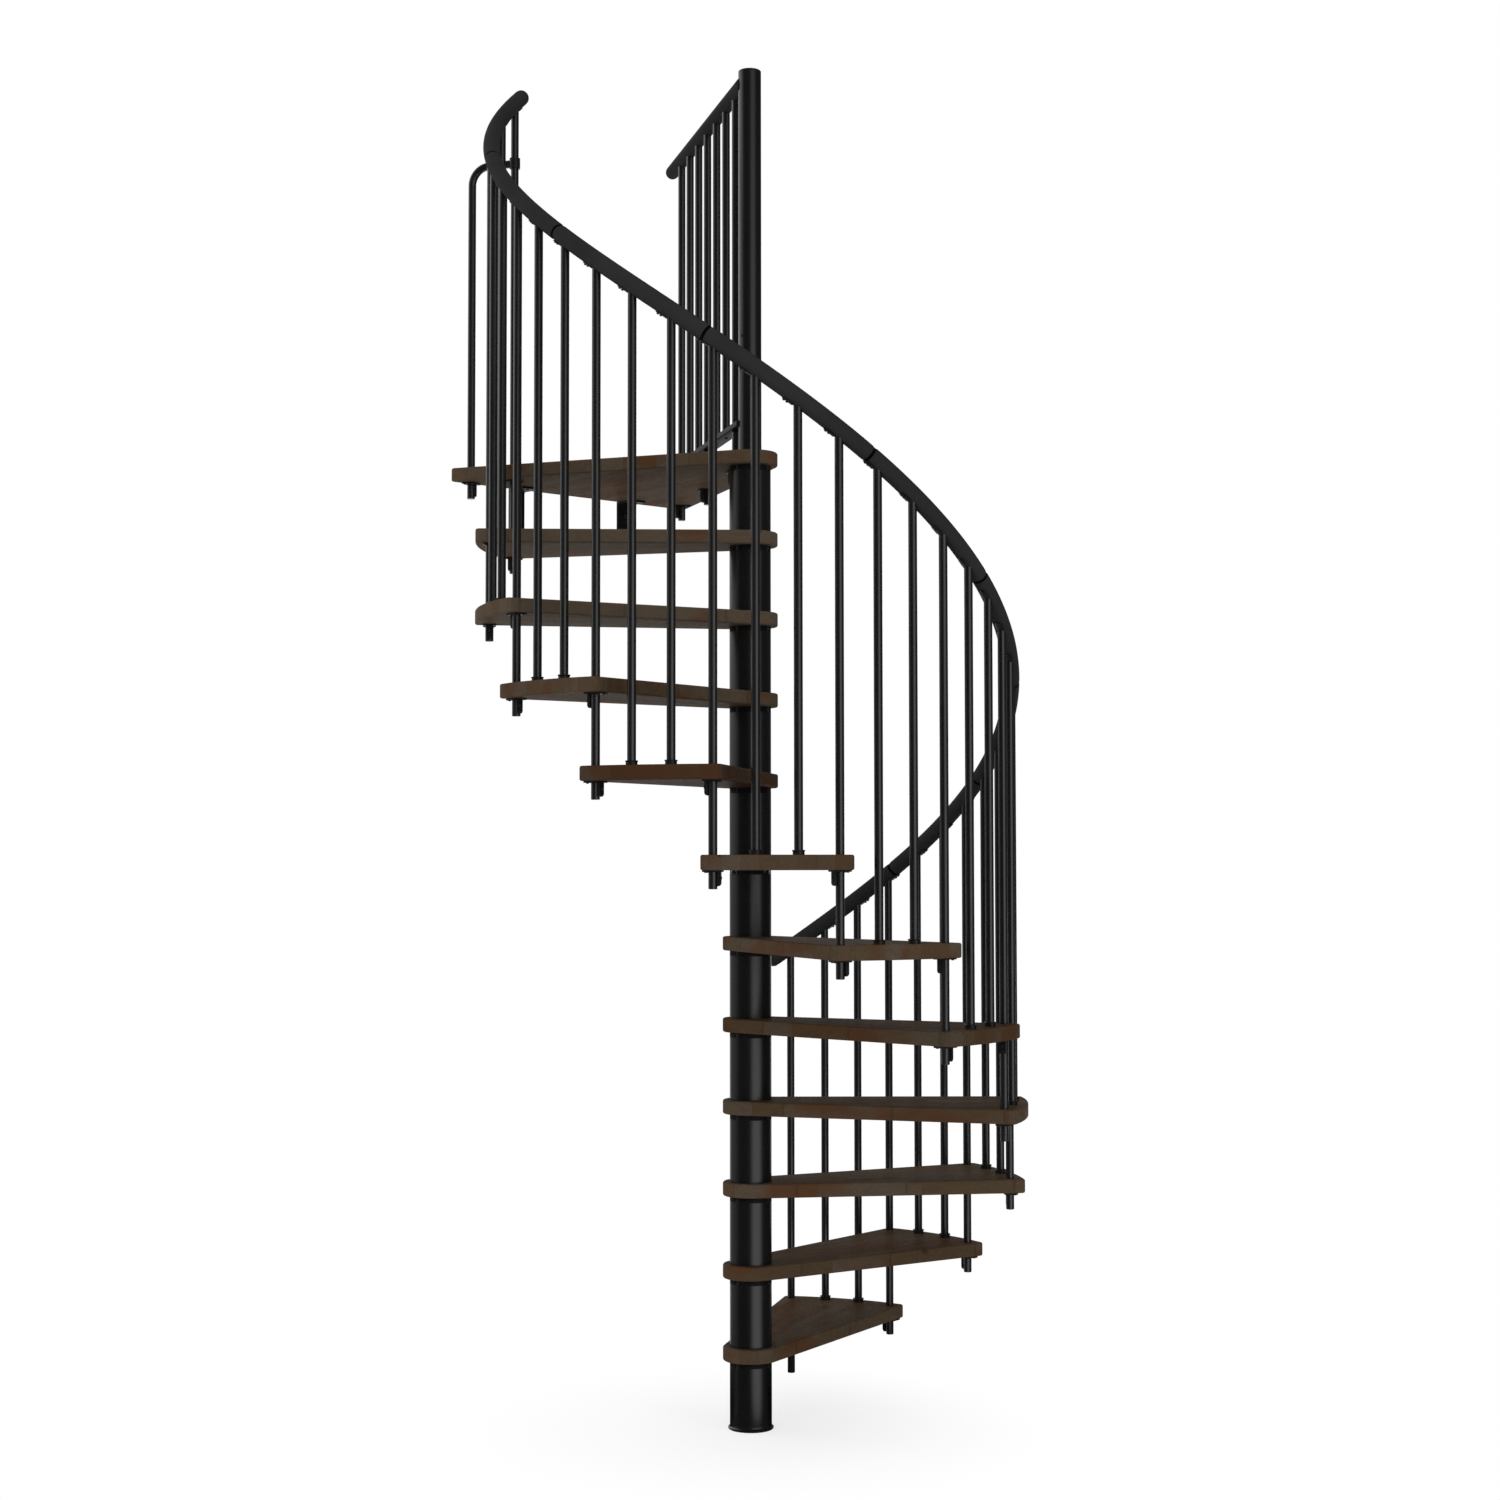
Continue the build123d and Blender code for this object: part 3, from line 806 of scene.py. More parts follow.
class PieceTrees:
    """Geometry Nodes trees for what repeats on the staircase or follows a rule, in metres and radians."""

    rim_share: ClassVar[float] = 0.55
    socket_depth_share: ClassVar[float] = 0.6
    saddle_columns: ClassVar[int] = 8
    saddle_tip: ClassVar[float] = 0.008
    saddle_tip_share: ClassVar[float] = 0.45
    weld_distance: ClassVar[float] = 0.00001
    ring_rim_steps: ClassVar[int] = 2

    def __init__(self) -> None:
        """Builds the trees."""
        self.screws = self._tree("screw_heads", self._screws, {
            "Head Radius": 0.004, "Head Height": 0.003, "Crown Share": 0.8, "Socket Share": 0.55,
            "Sides": 18})
        self.studs = self._tree("threaded_studs", self._studs, {
            "Radius": 0.004, "Length": 0.014, "Thread Depth": 0.0006, "Turns": 6, "Sides": 14})
        self.saddles = self._tree("rail_saddles", self._saddles, {
            "Tube Radius": 0.021, "Length": 0.034, "Thickness": 0.003, "Sweep": 0.9, "Steps": 9})
        self.rings = self._tree("ring_stacks", self._rings, {
            "Levels": 12, "Rise": 0.21, "First Top": 0.174, "Rings": 4, "Ring Height": 0.003, "Gap": 0.0005,
            "Outer Radius": 0.054, "Inner Radius": 0.031, "Rim": 0.0006, "Sides": 96})
        self.helix = self._tree("helical_rail", self._helix, {
            "Start Angle": 0.0, "Sweep": 0.5, "Circle": 0.676, "Start Height": 1.2, "Rise Per Radian": 0.47,
            "Radius": 0.021, "End Ease": 0.003, "End Drop": 0.0012, "Rings": 120, "Sides": 36})

    @staticmethod
    def _tree(name: str, shape: Callable[[Wiring, Sockets], NodeSocket],
              sizes: dict[str, float]) -> NodeTree:
        """Builds a tree round the nodes of a shape. It ends in Realize Instances and Set Material.

        Args:
            name: Name of the tree.
            shape: Adds the nodes and returns their geometry.
            sizes: Default of each size by name.

        Returns:
            The tree.
        """
        inputs = {"Geometry": Mesh, **sizes, "Finish": Material}
        tree, wiring, given, results = new_tree(name, TreeKind.GEOMETRY, inputs, ("Geometry",))
        real = wiring.geo("RealizeInstances", Geometry=shape(wiring, given))
        wiring.feed(results["Geometry"], wiring.geo("SetMaterial", Geometry=real, Material=given["Finish"]))
        return tree

    @staticmethod
    def _on_points(wiring: Wiring, given: Sockets, shape: NodeSocket) -> NodeSocket:
        """Puts a shape on the tree's points, turned by their turn attribute.

        Args:
            wiring: Wiring of the tree.
            given: The tree's inputs.
            shape: The shape.

        Returns:
            The instances.
        """
        turn = wiring.geo("InputNamedAttribute", data_type="FLOAT_VECTOR", Name="turn")
        rotation = wiring.node("FunctionNodeEulerToRotation", Euler=turn).outputs[0]
        return wiring.geo("InstanceOnPoints", Points=given["Geometry"], Instance=shape, Rotation=rotation)

    @staticmethod
    def _raised(wiring: Wiring, mesh: NodeSocket, faces: NodeSocket, height: object) -> Sockets:
        """Faces raised by a height."""
        return wiring.node("GeometryNodeExtrudeMesh", mode="FACES", Mesh=mesh, Selection=faces,
                           Offset_Scale=height).outputs

    @staticmethod
    def _tube(wiring: Wiring, given: Sockets, curve: NodeSocket, narrowing: NodeSocket) -> NodeSocket:
        """A closed round tube along a curve.

        Args:
            wiring: Wiring of the tree.
            given: The tree's inputs, with the tube's radius and sides.
            curve: The curve.
            narrowing: Share of the radius that is missing at each point.

        Returns:
            The tube's mesh.
        """
        sized = wiring.geo("SetCurveRadius", Curve=curve, Radius=wiring.math("SUBTRACT", 1.0, narrowing))
        profile = wiring.geo("CurvePrimitiveCircle", Resolution=given["Sides"], Radius=given["Radius"])
        return wiring.geo("CurveToMesh", Curve=sized, Profile_Curve=profile, Scale=wiring.geo("InputRadius"),
                          Fill_Caps=True)

    def _screws(self, wiring: Wiring, given: Sockets) -> NodeSocket:
        """Screw or bolt heads with a tapered rim and a socket, standing on local Z.

        Args:
            wiring: Wiring of the tree.
            given: The tree's inputs.

        Returns:
            The heads.
        """
        height = given["Head Height"]
        rim_height = wiring.math("MULTIPLY", height, self.rim_share)
        rim = wiring.node("GeometryNodeMeshCone", Vertices=given["Sides"], Radius_Top=given["Head Radius"],
                          Radius_Bottom=given["Head Radius"], Depth=rim_height).outputs
        crown = self._raised(wiring, rim["Mesh"], rim["Top"], wiring.math("SUBTRACT", height, rim_height))
        tapered = wiring.geo("ScaleElements", Geometry=crown["Mesh"], Selection=crown["Top"],
                             Scale=given["Crown Share"])
        inset = self._raised(wiring, tapered, crown["Top"], 0.0)
        narrowed = wiring.geo("ScaleElements", Geometry=inset["Mesh"], Selection=inset["Top"],
                              Scale=given["Socket Share"])
        depth = wiring.math("MULTIPLY", height, -self.socket_depth_share)
        return self._on_points(wiring, given, self._raised(wiring, narrowed, inset["Top"], depth)["Mesh"])

    def _studs(self, wiring: Wiring, given: Sockets) -> NodeSocket:
        """Short threaded studs along local Z.

        Args:
            wiring: Wiring of the tree.
            given: The tree's inputs.

        Returns:
            The studs.
        """
        line = wiring.geo("CurvePrimitiveLine", Start=(0.0, 0.0, 0.0), End=wiring.combine(Z=given["Length"]))
        count = wiring.math("MULTIPLY_ADD", given["Turns"], 2.0, 1.0)
        stepped = wiring.geo("ResampleCurve", Curve=line, Count=count)
        odd = wiring.math("MODULO", wiring.geo("InputIndex"), 2.0)
        share = wiring.math("DIVIDE", given["Thread Depth"], given["Radius"])
        stud = self._tube(wiring, given, stepped, wiring.math("MULTIPLY", odd, share))
        return self._on_points(wiring, given, stud)

    def _saddles(self, wiring: Wiring, given: Sockets) -> NodeSocket:
        """Curved clips that hug a tube from below, lying along local X.

        Args:
            wiring: Wiring of the tree.
            given: The tree's inputs.

        Returns:
            The clips.
        """
        length = given["Length"]
        grid = wiring.geo("MeshGrid", Size_X=length, Size_Y=given["Sweep"], Vertices_X=self.saddle_columns,
                          Vertices_Y=given["Steps"])
        spot = wiring.split(wiring.geo("InputPosition"))
        along = wiring.math("ADD", spot["X"], wiring.math("MULTIPLY", length, 0.5))
        tip = wiring.ease(wiring.math("SUBTRACT", length, along), 0.0, self.saddle_tip, self.saddle_tip_share)
        angle = wiring.math("MULTIPLY", spot["Y"], tip)
        side = wiring.math("MULTIPLY", wiring.math("SINE", angle), given["Tube Radius"])
        down = wiring.math("MULTIPLY", wiring.math("COSINE", angle), given["Tube Radius"])
        bent = wiring.geo("SetPosition", Geometry=grid,
                          Position=wiring.combine(X=along, Y=side, Z=wiring.math("MULTIPLY", down, -1.0)))
        thick = wiring.geo("ExtrudeMesh", mode="FACES", Mesh=wiring.geo("FlipFaces", Mesh=bent),
                           Offset_Scale=given["Thickness"], Individual=False)
        whole = wiring.node("GeometryNodeJoinGeometry", Geometry=thick)
        wiring.fill(whole, Geometry=bent)
        welded = wiring.geo("MergeByDistance", Geometry=whole.outputs[0], Distance=self.weld_distance)
        return self._on_points(wiring, given, welded)

    def _rings(self, wiring: Wiring, given: Sockets) -> NodeSocket:
        """Stacks of thin rings round the pole, one stack under each board.

        Args:
            wiring: Wiring of the tree.
            given: The tree's inputs.

        Returns:
            The stacks.
        """
        height = given["Ring Height"]
        width = wiring.math("SUBTRACT", given["Outer Radius"], given["Inner Radius"])
        middle = wiring.math("SUBTRACT", given["Outer Radius"], wiring.math("MULTIPLY", width, 0.5))
        circle = wiring.geo("CurvePrimitiveCircle", Resolution=given["Sides"], Radius=middle)
        profile = wiring.geo("CurvePrimitiveQuadrilateral", Width=width, Height=height)
        profile = wiring.geo("FilletCurve", mode="POLY", Curve=profile, Radius=given["Rim"],
                             Count=self.ring_rim_steps)
        ring = wiring.geo("CurveToMesh", Curve=circle, Profile_Curve=profile)
        top = wiring.math("SUBTRACT", given["First Top"], wiring.math("MULTIPLY", height, 0.5))
        pitch = wiring.math("ADD", height, given["Gap"])
        stack = wiring.geo("MeshLine", Count=given["Rings"], Start_Location=wiring.combine(Z=top),
                           Offset=wiring.combine(Z=wiring.math("MULTIPLY", pitch, -1.0)))
        stack = wiring.geo("InstanceOnPoints", Points=stack, Instance=ring)
        levels = wiring.geo("MeshLine", Count=given["Levels"], Start_Location=(0.0, 0.0, 0.0),
                            Offset=wiring.combine(Z=given["Rise"]))
        return wiring.geo("InstanceOnPoints", Points=levels, Instance=stack)

    def _helix(self, wiring: Wiring, given: Sockets) -> NodeSocket:
        """One round piece along the handrail's helix, its ends slightly eased.

        Args:
            wiring: Wiring of the tree.
            given: The tree's inputs.

        Returns:
            The piece.
        """
        line = wiring.geo("CurvePrimitiveLine", Start=(0.0, 0.0, 0.0), End=(1.0, 0.0, 0.0))
        steps = wiring.geo("ResampleCurve", Curve=line, Count=given["Rings"])
        turned = wiring.math("MULTIPLY", wiring.geo("SplineParameter"), given["Sweep"])
        angle = wiring.math("SUBTRACT", given["Start Angle"], turned)
        height = wiring.math("MULTIPLY_ADD", turned, given["Rise Per Radian"], given["Start Height"])
        right = wiring.math("MULTIPLY", wiring.math("COSINE", angle), given["Circle"])
        back = wiring.math("MULTIPLY", wiring.math("SINE", angle), given["Circle"])
        bent = wiring.geo("SetPosition", Geometry=steps, Position=wiring.combine(X=right, Y=back, Z=height))
        from_start = wiring.node("GeometryNodeSplineParameter").outputs["Length"]
        from_end = wiring.math("SUBTRACT", wiring.geo("SplineLength"), from_start)
        near = wiring.math("DIVIDE", wiring.math("MINIMUM", from_start, from_end), given["End Ease"])
        drop = wiring.math("DIVIDE", given["End Drop"], given["Radius"])
        eased = wiring.math("SUBTRACT", 1.0, wiring.ease(near, 0.0, 1.0))
        return self._tube(wiring, given, bent, wiring.math("MULTIPLY", drop, eased))


@dataclass(frozen=True)
class ScrewSize:
    """Sizes of a screw head in metres."""

    radius: float
    height: float
    sides: int = 18
    crown_share: float = 0.78
    socket_share: float = 0.5


class Workshop:
    """What every sub-assembly needs: the finishes and the trees for what repeats, built once."""

    def __init__(self) -> None:
        """Builds the shared effects, the dark finishes and the trees."""
        self.effects = Effects()
        self.dark = {finish.name: finish.material(self.effects) for finish in DARK_FINISHES}
        self.trees = PieceTrees()

    def finish(self, finish: DarkFinish) -> Material:
        """The material of a dark finish."""
        return self.dark[finish.name]

    def repeat(self, name: str, tree: NodeTree, places: Sequence[Place], sizes: dict[str, float],
               finish: DarkFinish, slot: Slot, replaced: Sequence[str] = ()) -> None:
        """Makes a piece from a tree that repeats a shape.

        Args:
            name: Name of the piece.
            tree: The tree.
            places: Where each shape sits and how it is turned. A tree that places its own needs none.
            sizes: Sizes of the shape by the names of the tree's inputs.
            finish: The finish of the piece.
            slot: Not used.
            replaced: CAD nodes that it stands for.
        """
        values = {**sizes, "Finish": self.finish(finish)}
        piece(name, baked(name, point_mesh(name + "_places", places), tree, values), replaced)

    def screws(self, name: str, places: Sequence[Place], size: ScrewSize, slot: Slot) -> None:
        """Makes a set of screw heads.

        Args:
            name: Name of the piece.
            places: Where each head sits and how it is turned.
            size: Sizes of the heads.
            slot: The record's slot of the piece.
        """
        sizes = {"Head Radius": size.radius, "Head Height": size.height, "Crown Share": size.crown_share,
                 "Socket Share": size.socket_share, "Sides": size.sides}
        self.repeat(name, self.trees.screws, places, sizes, SCREW_STEEL, slot)


# Sub-assemblies


@dataclass
class SubAssembly:
    """A group of pieces that are made and dressed together."""

    finishes: ClassVar[dict[str, DarkFinish]] = {}

    shop: Workshop

    def build(self) -> None:
        """Makes what the CAD nodes of the group don't have."""

    def dress(self) -> None:
        """Gives the CAD nodes of the group their dark finishes."""
        for node, finish in self.finishes.items():
            dress(node, self.shop.finish(finish))


@dataclass
class Column(SubAssembly):
    """The column: flange, spacers, ring stacks, pole, cap and their studs."""

    finishes = {"base_flange": COLUMN_COAT, "column_spacers": COLUMN_COAT, "center_pole": COLUMN_COAT,
                "post_cap": CAP_NYLON}

    rings_per_stack: int = 4
    ring_height: float = 0.0031
    ring_gap: float = 0.0005
    ring_inner: float = 0.0306
    stud_radius: float = 0.0042
    stud_length: float = 0.0135
    stud_sink: float = 0.0022
    stud_degs: tuple[float, ...] = (-129.0, -33.0, 51.0, 147.0)
    post_screw: ScrewSize = ScrewSize(0.0045, 0.0022)
    post_screw_deg: float = -134.0
    post_screw_height: float = 2.827
    post_screw_sink: float = 0.0006

    def build(self) -> None:
        """Makes the ring stacks, the studs under the boards and the post's screw."""
        sizes = {"Levels": PLAN.riser_count, "Rise": PLAN.rise, "First Top": PLAN.under_z(0),
                 "Rings": self.rings_per_stack, "Ring Height": self.ring_height, "Gap": self.ring_gap,
                 "Outer Radius": PLAN.column_radius, "Inner Radius": self.ring_inner}
        self.shop.repeat("ring_stacks", self.shop.trees.rings, (), sizes, RING_NYLON, Slot.RING,
                         ("adjusting_rings",))
        reach = PLAN.column_radius - self.stud_sink
        lows = [PLAN.under_z(number) - self.stud_length for number in range(PLAN.riser_count)]
        places = [(polar(reach, degrees, low), Euler()) for low in lows for degrees in self.stud_degs]
        sizes = {"Radius": self.stud_radius, "Length": self.stud_length}
        self.shop.repeat("column_studs", self.shop.trees.studs, places, sizes, SCREW_STEEL, Slot.RING)
        spot = polar(PLAN.pole_radius - self.post_screw_sink, self.post_screw_deg, self.post_screw_height)
        place = (spot, facing(outward(self.post_screw_deg)))
        self.shop.screws("post_screw", [place], self.post_screw, Slot.COLUMN)


@dataclass
class Boards(SubAssembly):
    """The wooden treads and the landing. In the tuples the landing comes last."""

    seed_step: float = 3.7
    landing_seed_shift: float = 1.0
    warmths: tuple[float, ...] = (0.17, 0.20, 0.10, 0.13, 0.19, 0.16, 0.10, 0.30, 0.16, 0.06, 0.08, 0.08)
    lightnesses: tuple[float, ...] = (1.03, 0.97, 1.06, 0.97, 0.86, 1.0, 0.92, 0.70, 1.0, 1.14, 1.16, 1.10)
    palenesses: tuple[float, ...] = (0.15, 0.30, 0.35, 0.10, 0.0, 0.10, 0.15, 0.0, 0.20, 0.50, 0.60, 0.35)

    def dress(self) -> None:
        """Gives each board its own wood, turned along the board."""
        treads = range(PLAN.tread_count)
        names = ["tread_{:02d}".format(number + 1) for number in treads] + ["landing_platform"]
        turns = [PLAN.tread_deg(number) for number in treads] + [PLAN.landing_normal_deg]
        seeds = [(number + 1) * self.seed_step for number in treads]
        seeds.append(self.seed_step * PLAN.riser_count + self.landing_seed_shift)
        for name, *looks in zip(names, turns, seeds, self.warmths, self.lightnesses, self.palenesses):
            dress(name, WalnutBlocks("walnut_" + name, *looks).material(self.shop.effects))


@dataclass
class Balusters(SubAssembly):
    """The uprights of the stair with their collars, brackets and screws."""

    finishes = {"long_balusters": BALUSTER_COAT, "short_balusters": BALUSTER_COAT,
                "baluster_collars": CAP_NYLON, "baluster_brackets": BRACKET_COAT}

    bracket_thickness: float = 0.004
    plate_screw: ScrewSize = ScrewSize(0.0036, 0.0022)
    tab_screw: ScrewSize = ScrewSize(0.0034, 0.0020)
    screw_out: float = 0.011
    screw_side: float = 0.0155
    tab_face: float = 0.0193
    tab_screw_drop: float = 0.018

    def brackets(self) -> list[tuple[Vector, float, float]]:
        """Place, angle and tab side of every bracket.

        Returns:
            The brackets of the treads, and then those of the landing.
        """
        made = []
        for number in range(PLAN.tread_count):
            for index, side in ((number, -1.0), (number + 1, 1.0)):
                degrees = PLAN.baluster_deg(index)
                made.append((polar(PLAN.circle, degrees, PLAN.under_z(number)), degrees, side))
        for reach in (PLAN.circle, PLAN.hoop_reach):
            made.append((polar(reach, PLAN.last_deg, PLAN.landing_under), PLAN.last_deg, -1.0))
        for reach in PLAN.landing_reaches(through=True):
            made.append((PLAN.landing_rail_spot(reach, PLAN.landing_under), PLAN.landing_rail_deg, 1.0))
        return made

    def build(self) -> None:
        """Makes the screws of the brackets."""
        plate_places = []
        tab_places = []
        for spot, degrees, side in self.brackets():
            away = sideways(degrees) * -side
            for out in (-self.screw_out, self.screw_out):
                head = spot + outward(degrees) * out + away * self.screw_side
                plate_places.append((head - UP * self.bracket_thickness, facing(-UP)))
            tab = spot - away * self.tab_face - UP * self.tab_screw_drop
            tab_places.append((tab, facing(-away)))
        self.shop.screws("bracket_screws", plate_places, self.plate_screw, Slot.BRACKET)
        self.shop.screws("tab_screws", tab_places, self.tab_screw, Slot.BRACKET)


@dataclass
class StairRail(SubAssembly):
    """The helical handrail with its seams, ends and saddles."""

    finishes = {"handrail_end_caps": RAIL_SKIN}

    seams_deg: tuple[float, ...] = (53.3, 23.5, -5.2, -33.8, -65.4, -98.7, -133.2, -167.4)
    low_overrun_deg: float = 4.2
    top_overrun_deg: float = 3.2
    seam_width: float = 0.0076
    seam_radius: float = 0.0199
    seam_steps: int = 5
    saddle_length: float = 0.030
    saddle_thickness: float = 0.0020
    saddle_gap: float = 0.0002
    saddle_screw: ScrewSize = ScrewSize(0.0032, 0.0026)
    screw_alongs: tuple[float, ...] = (0.0155, 0.0245)

    def build(self) -> None:
        """Makes the rail's pieces and seam rings by the rule of the helix, and the saddles under them."""
        half = math.degrees(self.seam_width / 2 * math.cos(PLAN.slope) / PLAN.circle)
        starts = [PLAN.first_deg + self.low_overrun_deg] + [seam - half for seam in self.seams_deg]
        ends = [seam + half for seam in self.seams_deg] + [PLAN.last_deg - self.top_overrun_deg]
        mesh = self.swept("handrail_pieces", list(zip(starts, ends)), RAIL_SKIN, {"Radius": PLAN.rail_radius})
        piece("handrail_pieces", mesh, ("handrail_segments",))
        spans = [(seam + half, seam - half) for seam in self.seams_deg]
        # The seam rings are near black: painted shade in the gaps between the rail's pieces
        sizes = {"Radius": self.seam_radius, "End Drop": 0.0, "Rings": self.seam_steps}
        mesh = self.swept("seam_rings", spans, SEAM_RING_PAINTED_SHADE, sizes)
        piece("seam_rings", mesh, ("handrail_seam_rings",))
        self.saddles()

    def swept(self, name: str, spans: Sequence[Span], finish: DarkFinish,
              sizes: dict[str, float]) -> Mesh:
        """Round pieces along the helix, joined into one mesh.

        Args:
            name: Name of the mesh.
            spans: Lower and upper angle of each piece.
            finish: The finish of the pieces.
            sizes: Values of the helix tree that all the pieces share.

        Returns:
            The joined mesh.
        """
        joined = bmesh.new()
        for start, end in spans:
            values = {"Start Angle": math.radians(start), "Sweep": math.radians(start - end),
                      "Circle": PLAN.circle, "Start Height": PLAN.rail_z(start),
                      "Rise Per Radian": PLAN.rise / math.radians(PLAN.step_deg),
                      "Finish": self.shop.finish(finish), **sizes}
            part = baked("rail_part", bpy.data.meshes.new("rail_start"), self.shop.trees.helix, values)
            joined.from_mesh(part)
            bpy.data.meshes.remove(part)
        mesh = bpy.data.meshes.new(name)
        joined.to_mesh(mesh)
        joined.free()
        mesh.materials.append(self.shop.finish(finish))
        return mesh

    def saddles(self) -> None:
        """Makes a saddle and its screws on the uphill side of each upright."""
        clip_places = []
        screw_places = []
        lift = PLAN.rail_radius + self.saddle_gap + self.saddle_thickness
        for degrees in PLAN.upright_degs():
            uphill = UP * math.sin(PLAN.slope) - sideways(degrees) * math.cos(PLAN.slope)
            turn = framed(uphill, UP)
            centre = polar(PLAN.circle, degrees, PLAN.rail_z(degrees))
            clip_places.append((centre, turn))
            normal = turn.to_matrix() @ UP
            for along in self.screw_alongs:
                screw_places.append((centre + uphill * along - normal * lift, facing(-normal)))
        sizes = {"Tube Radius": PLAN.rail_radius + self.saddle_gap, "Length": self.saddle_length,
                 "Thickness": self.saddle_thickness}
        self.shop.repeat("rail_saddles", self.shop.trees.saddles, clip_places, sizes, CAP_NYLON, Slot.CAP)
        self.shop.screws("saddle_screws", screw_places, self.saddle_screw, Slot.RAIL)


@dataclass
class LandingRails(SubAssembly):
    """The landing's balustrade and the closing hoop."""

    finishes = {"landing_balusters": BALUSTER_COAT, "closing_hoop": BALUSTER_COAT,
                "landing_bottom_rail": BRACKET_COAT, "landing_handrail": RAIL_SKIN, "hoop_clamp": CAP_NYLON}

    bar_lift: float = 0.070
    bar_screw: ScrewSize = ScrewSize(0.0042, 0.0026)
    hoop_drop: float = 0.166
    clamp_radius: float = 0.0145
    clamp_screw: ScrewSize = ScrewSize(0.0036, 0.0026)
    clamp_screw_step: float = 0.008
    clamp_screw_sink: float = 0.0006

    def build(self) -> None:
        """Makes the screws of the bottom bar and of the hoop's clamp."""
        height = PLAN.landing_top + self.bar_lift
        spots = [PLAN.landing_rail_spot(reach, height) for reach in PLAN.landing_reaches(through=False)]
        places = [(spot, facing(-UP)) for spot in spots]
        self.shop.screws("bar_screws", places, self.bar_screw, Slot.BALUSTER)
        hoop_top = PLAN.landing_top + PLAN.rail_height - self.hoop_drop
        middle = polar(PLAN.circle, PLAN.last_deg, hoop_top)
        places = []
        for aim in (-sideways(PLAN.last_deg), sideways(PLAN.last_deg)):
            for rise in (-self.clamp_screw_step, self.clamp_screw_step):
                spot = middle + aim * (self.clamp_radius - self.clamp_screw_sink) + UP * rise
                places.append((spot, facing(aim)))
        self.shop.screws("clamp_screws", places, self.clamp_screw, Slot.BRACKET)


@dataclass
class WallFixings(SubAssembly):
    """The angles under the landing's far edge with their bolts and screws."""

    finishes = {"landing_wall_brackets": BRACKET_COAT}

    inset: float = 0.227
    thickness: float = 0.006
    bolt: ScrewSize = ScrewSize(0.0075, 0.0055, sides=6, crown_share=0.9, socket_share=0.3)
    bolt_drops: tuple[float, ...] = (0.040, 0.085)
    screw: ScrewSize = ScrewSize(0.0045, 0.0026)
    screw_ins: tuple[float, ...] = (0.028, 0.055)

    def build(self) -> None:
        """Makes the bolts in the upright legs and the screws in the level legs."""
        out = outward(PLAN.landing_normal_deg)
        along = sideways(PLAN.landing_normal_deg)
        front = PLAN.tread_radius * math.tan(math.radians(PLAN.landing_front_span_deg)) - self.inset
        rear = self.inset - PLAN.tread_radius * math.tan(math.radians(PLAN.landing_rear_span_deg))
        bolts = []
        screws = []
        for shift in (front, rear):
            corner = out * PLAN.tread_radius + along * shift + UP * PLAN.landing_under
            for drop in self.bolt_drops:
                bolts.append((corner - out * self.thickness - UP * drop, facing(-out)))
            for inward in self.screw_ins:
                screws.append((corner - out * inward - UP * self.thickness, facing(-UP)))
        self.shop.screws("wall_bolts", bolts, self.bolt, Slot.BRACKET)
        self.shop.screws("wall_bracket_screws", screws, self.screw, Slot.BRACKET)


# Stage, light and camera


@dataclass(frozen=True)
class SoftLight:
    """An area light aimed at a point of the staircase. Reflections see the studio's panels in its place."""

    name: str
    place: Triple
    aim: Triple
    width: float
    height: float
    power: float

    def build(self) -> None:
        """Puts the light into the scene."""
        lamp = bpy.data.lights.new(self.name, "AREA")
        lamp.shape = "RECTANGLE"
        lamp.size = self.width
        lamp.size_y = self.height
        lamp.energy = self.power
        holder = bpy.data.objects.new(self.name, lamp)
        holder.location = self.place
        holder.rotation_euler = facing(Vector(self.place) - Vector(self.aim))
        holder.visible_glossy = False
        bpy.context.scene.collection.objects.link(holder)


@dataclass(frozen=True)
class Panel:
    """A soft white area of the studio that shows in reflections.

    The turn is where its middle lies, and the cosines say where it begins and is full. The rises are the
    sines of the elevations at which it has its least and its full level.
    """

    turn_deg: float
    cosines: Span
    rises: Span
    least: float
    level: float = 1.0

    def strength(self, wiring: Wiring, away: NodeSocket, rise: NodeSocket) -> NodeSocket:
        """The panel's strength in a direction.

        Args:
            wiring: Wiring of the tree that it goes into.
            away: Direction that a ray goes to.
            rise: Vertical part of that direction.

        Returns:
            The strength socket.
        """
        toward = wiring.measure("DOT_PRODUCT", away, tuple(outward(self.turn_deg)))
        height = wiring.ease(rise, *self.rises, self.least, self.level)
        return wiring.math("MULTIPLY", wiring.ease(toward, *self.cosines), height)


@dataclass(frozen=True)
class Surround:
    """What reflections see of the studio: dim all round, with soft white panels."""

    dim: float = 0.04
    panels: tuple[Panel, ...] = (
        Panel(135.0, cosines=(0.25, 0.80), rises=(0.0, 0.22), least=0.22),
        Panel(90.0, cosines=(0.72, 0.95), rises=(0.02, -0.06), least=0.10),
        Panel(-58.0, cosines=(0.80, 0.985), rises=(0.45, 0.05), least=0.30),
    )

    def tree(self) -> NodeTree:
        """Builds the node group that gives the level of the studio in a direction.

        Returns:
            The node group.
        """
        inputs = {"Direction": Vector}
        tree, wiring, given, results = new_tree("studio_surround", TreeKind.SHADER, inputs, ("Level",))
        away = wiring.vector("NORMALIZE", given["Direction"])
        rise = wiring.split(away)["Z"]
        level = self.dim
        for panel in self.panels:
            level = wiring.math("MAXIMUM", panel.strength(wiring, away, rise), level)
        wiring.feed(results["Level"], level)
        return tree


def seen_rays(wiring: Wiring) -> tuple[NodeSocket, NodeSocket]:
    """Masks of the rays that come from the camera, and of those that are reflected or let through.

    Args:
        wiring: Wiring of the tree that they go into.

    Returns:
        Both masks.
    """
    path = wiring.node("ShaderNodeLightPath").outputs
    reflected = wiring.math("MAXIMUM", path["Is Glossy Ray"], path["Is Transmission Ray"])
    return path["Is Camera Ray"], reflected


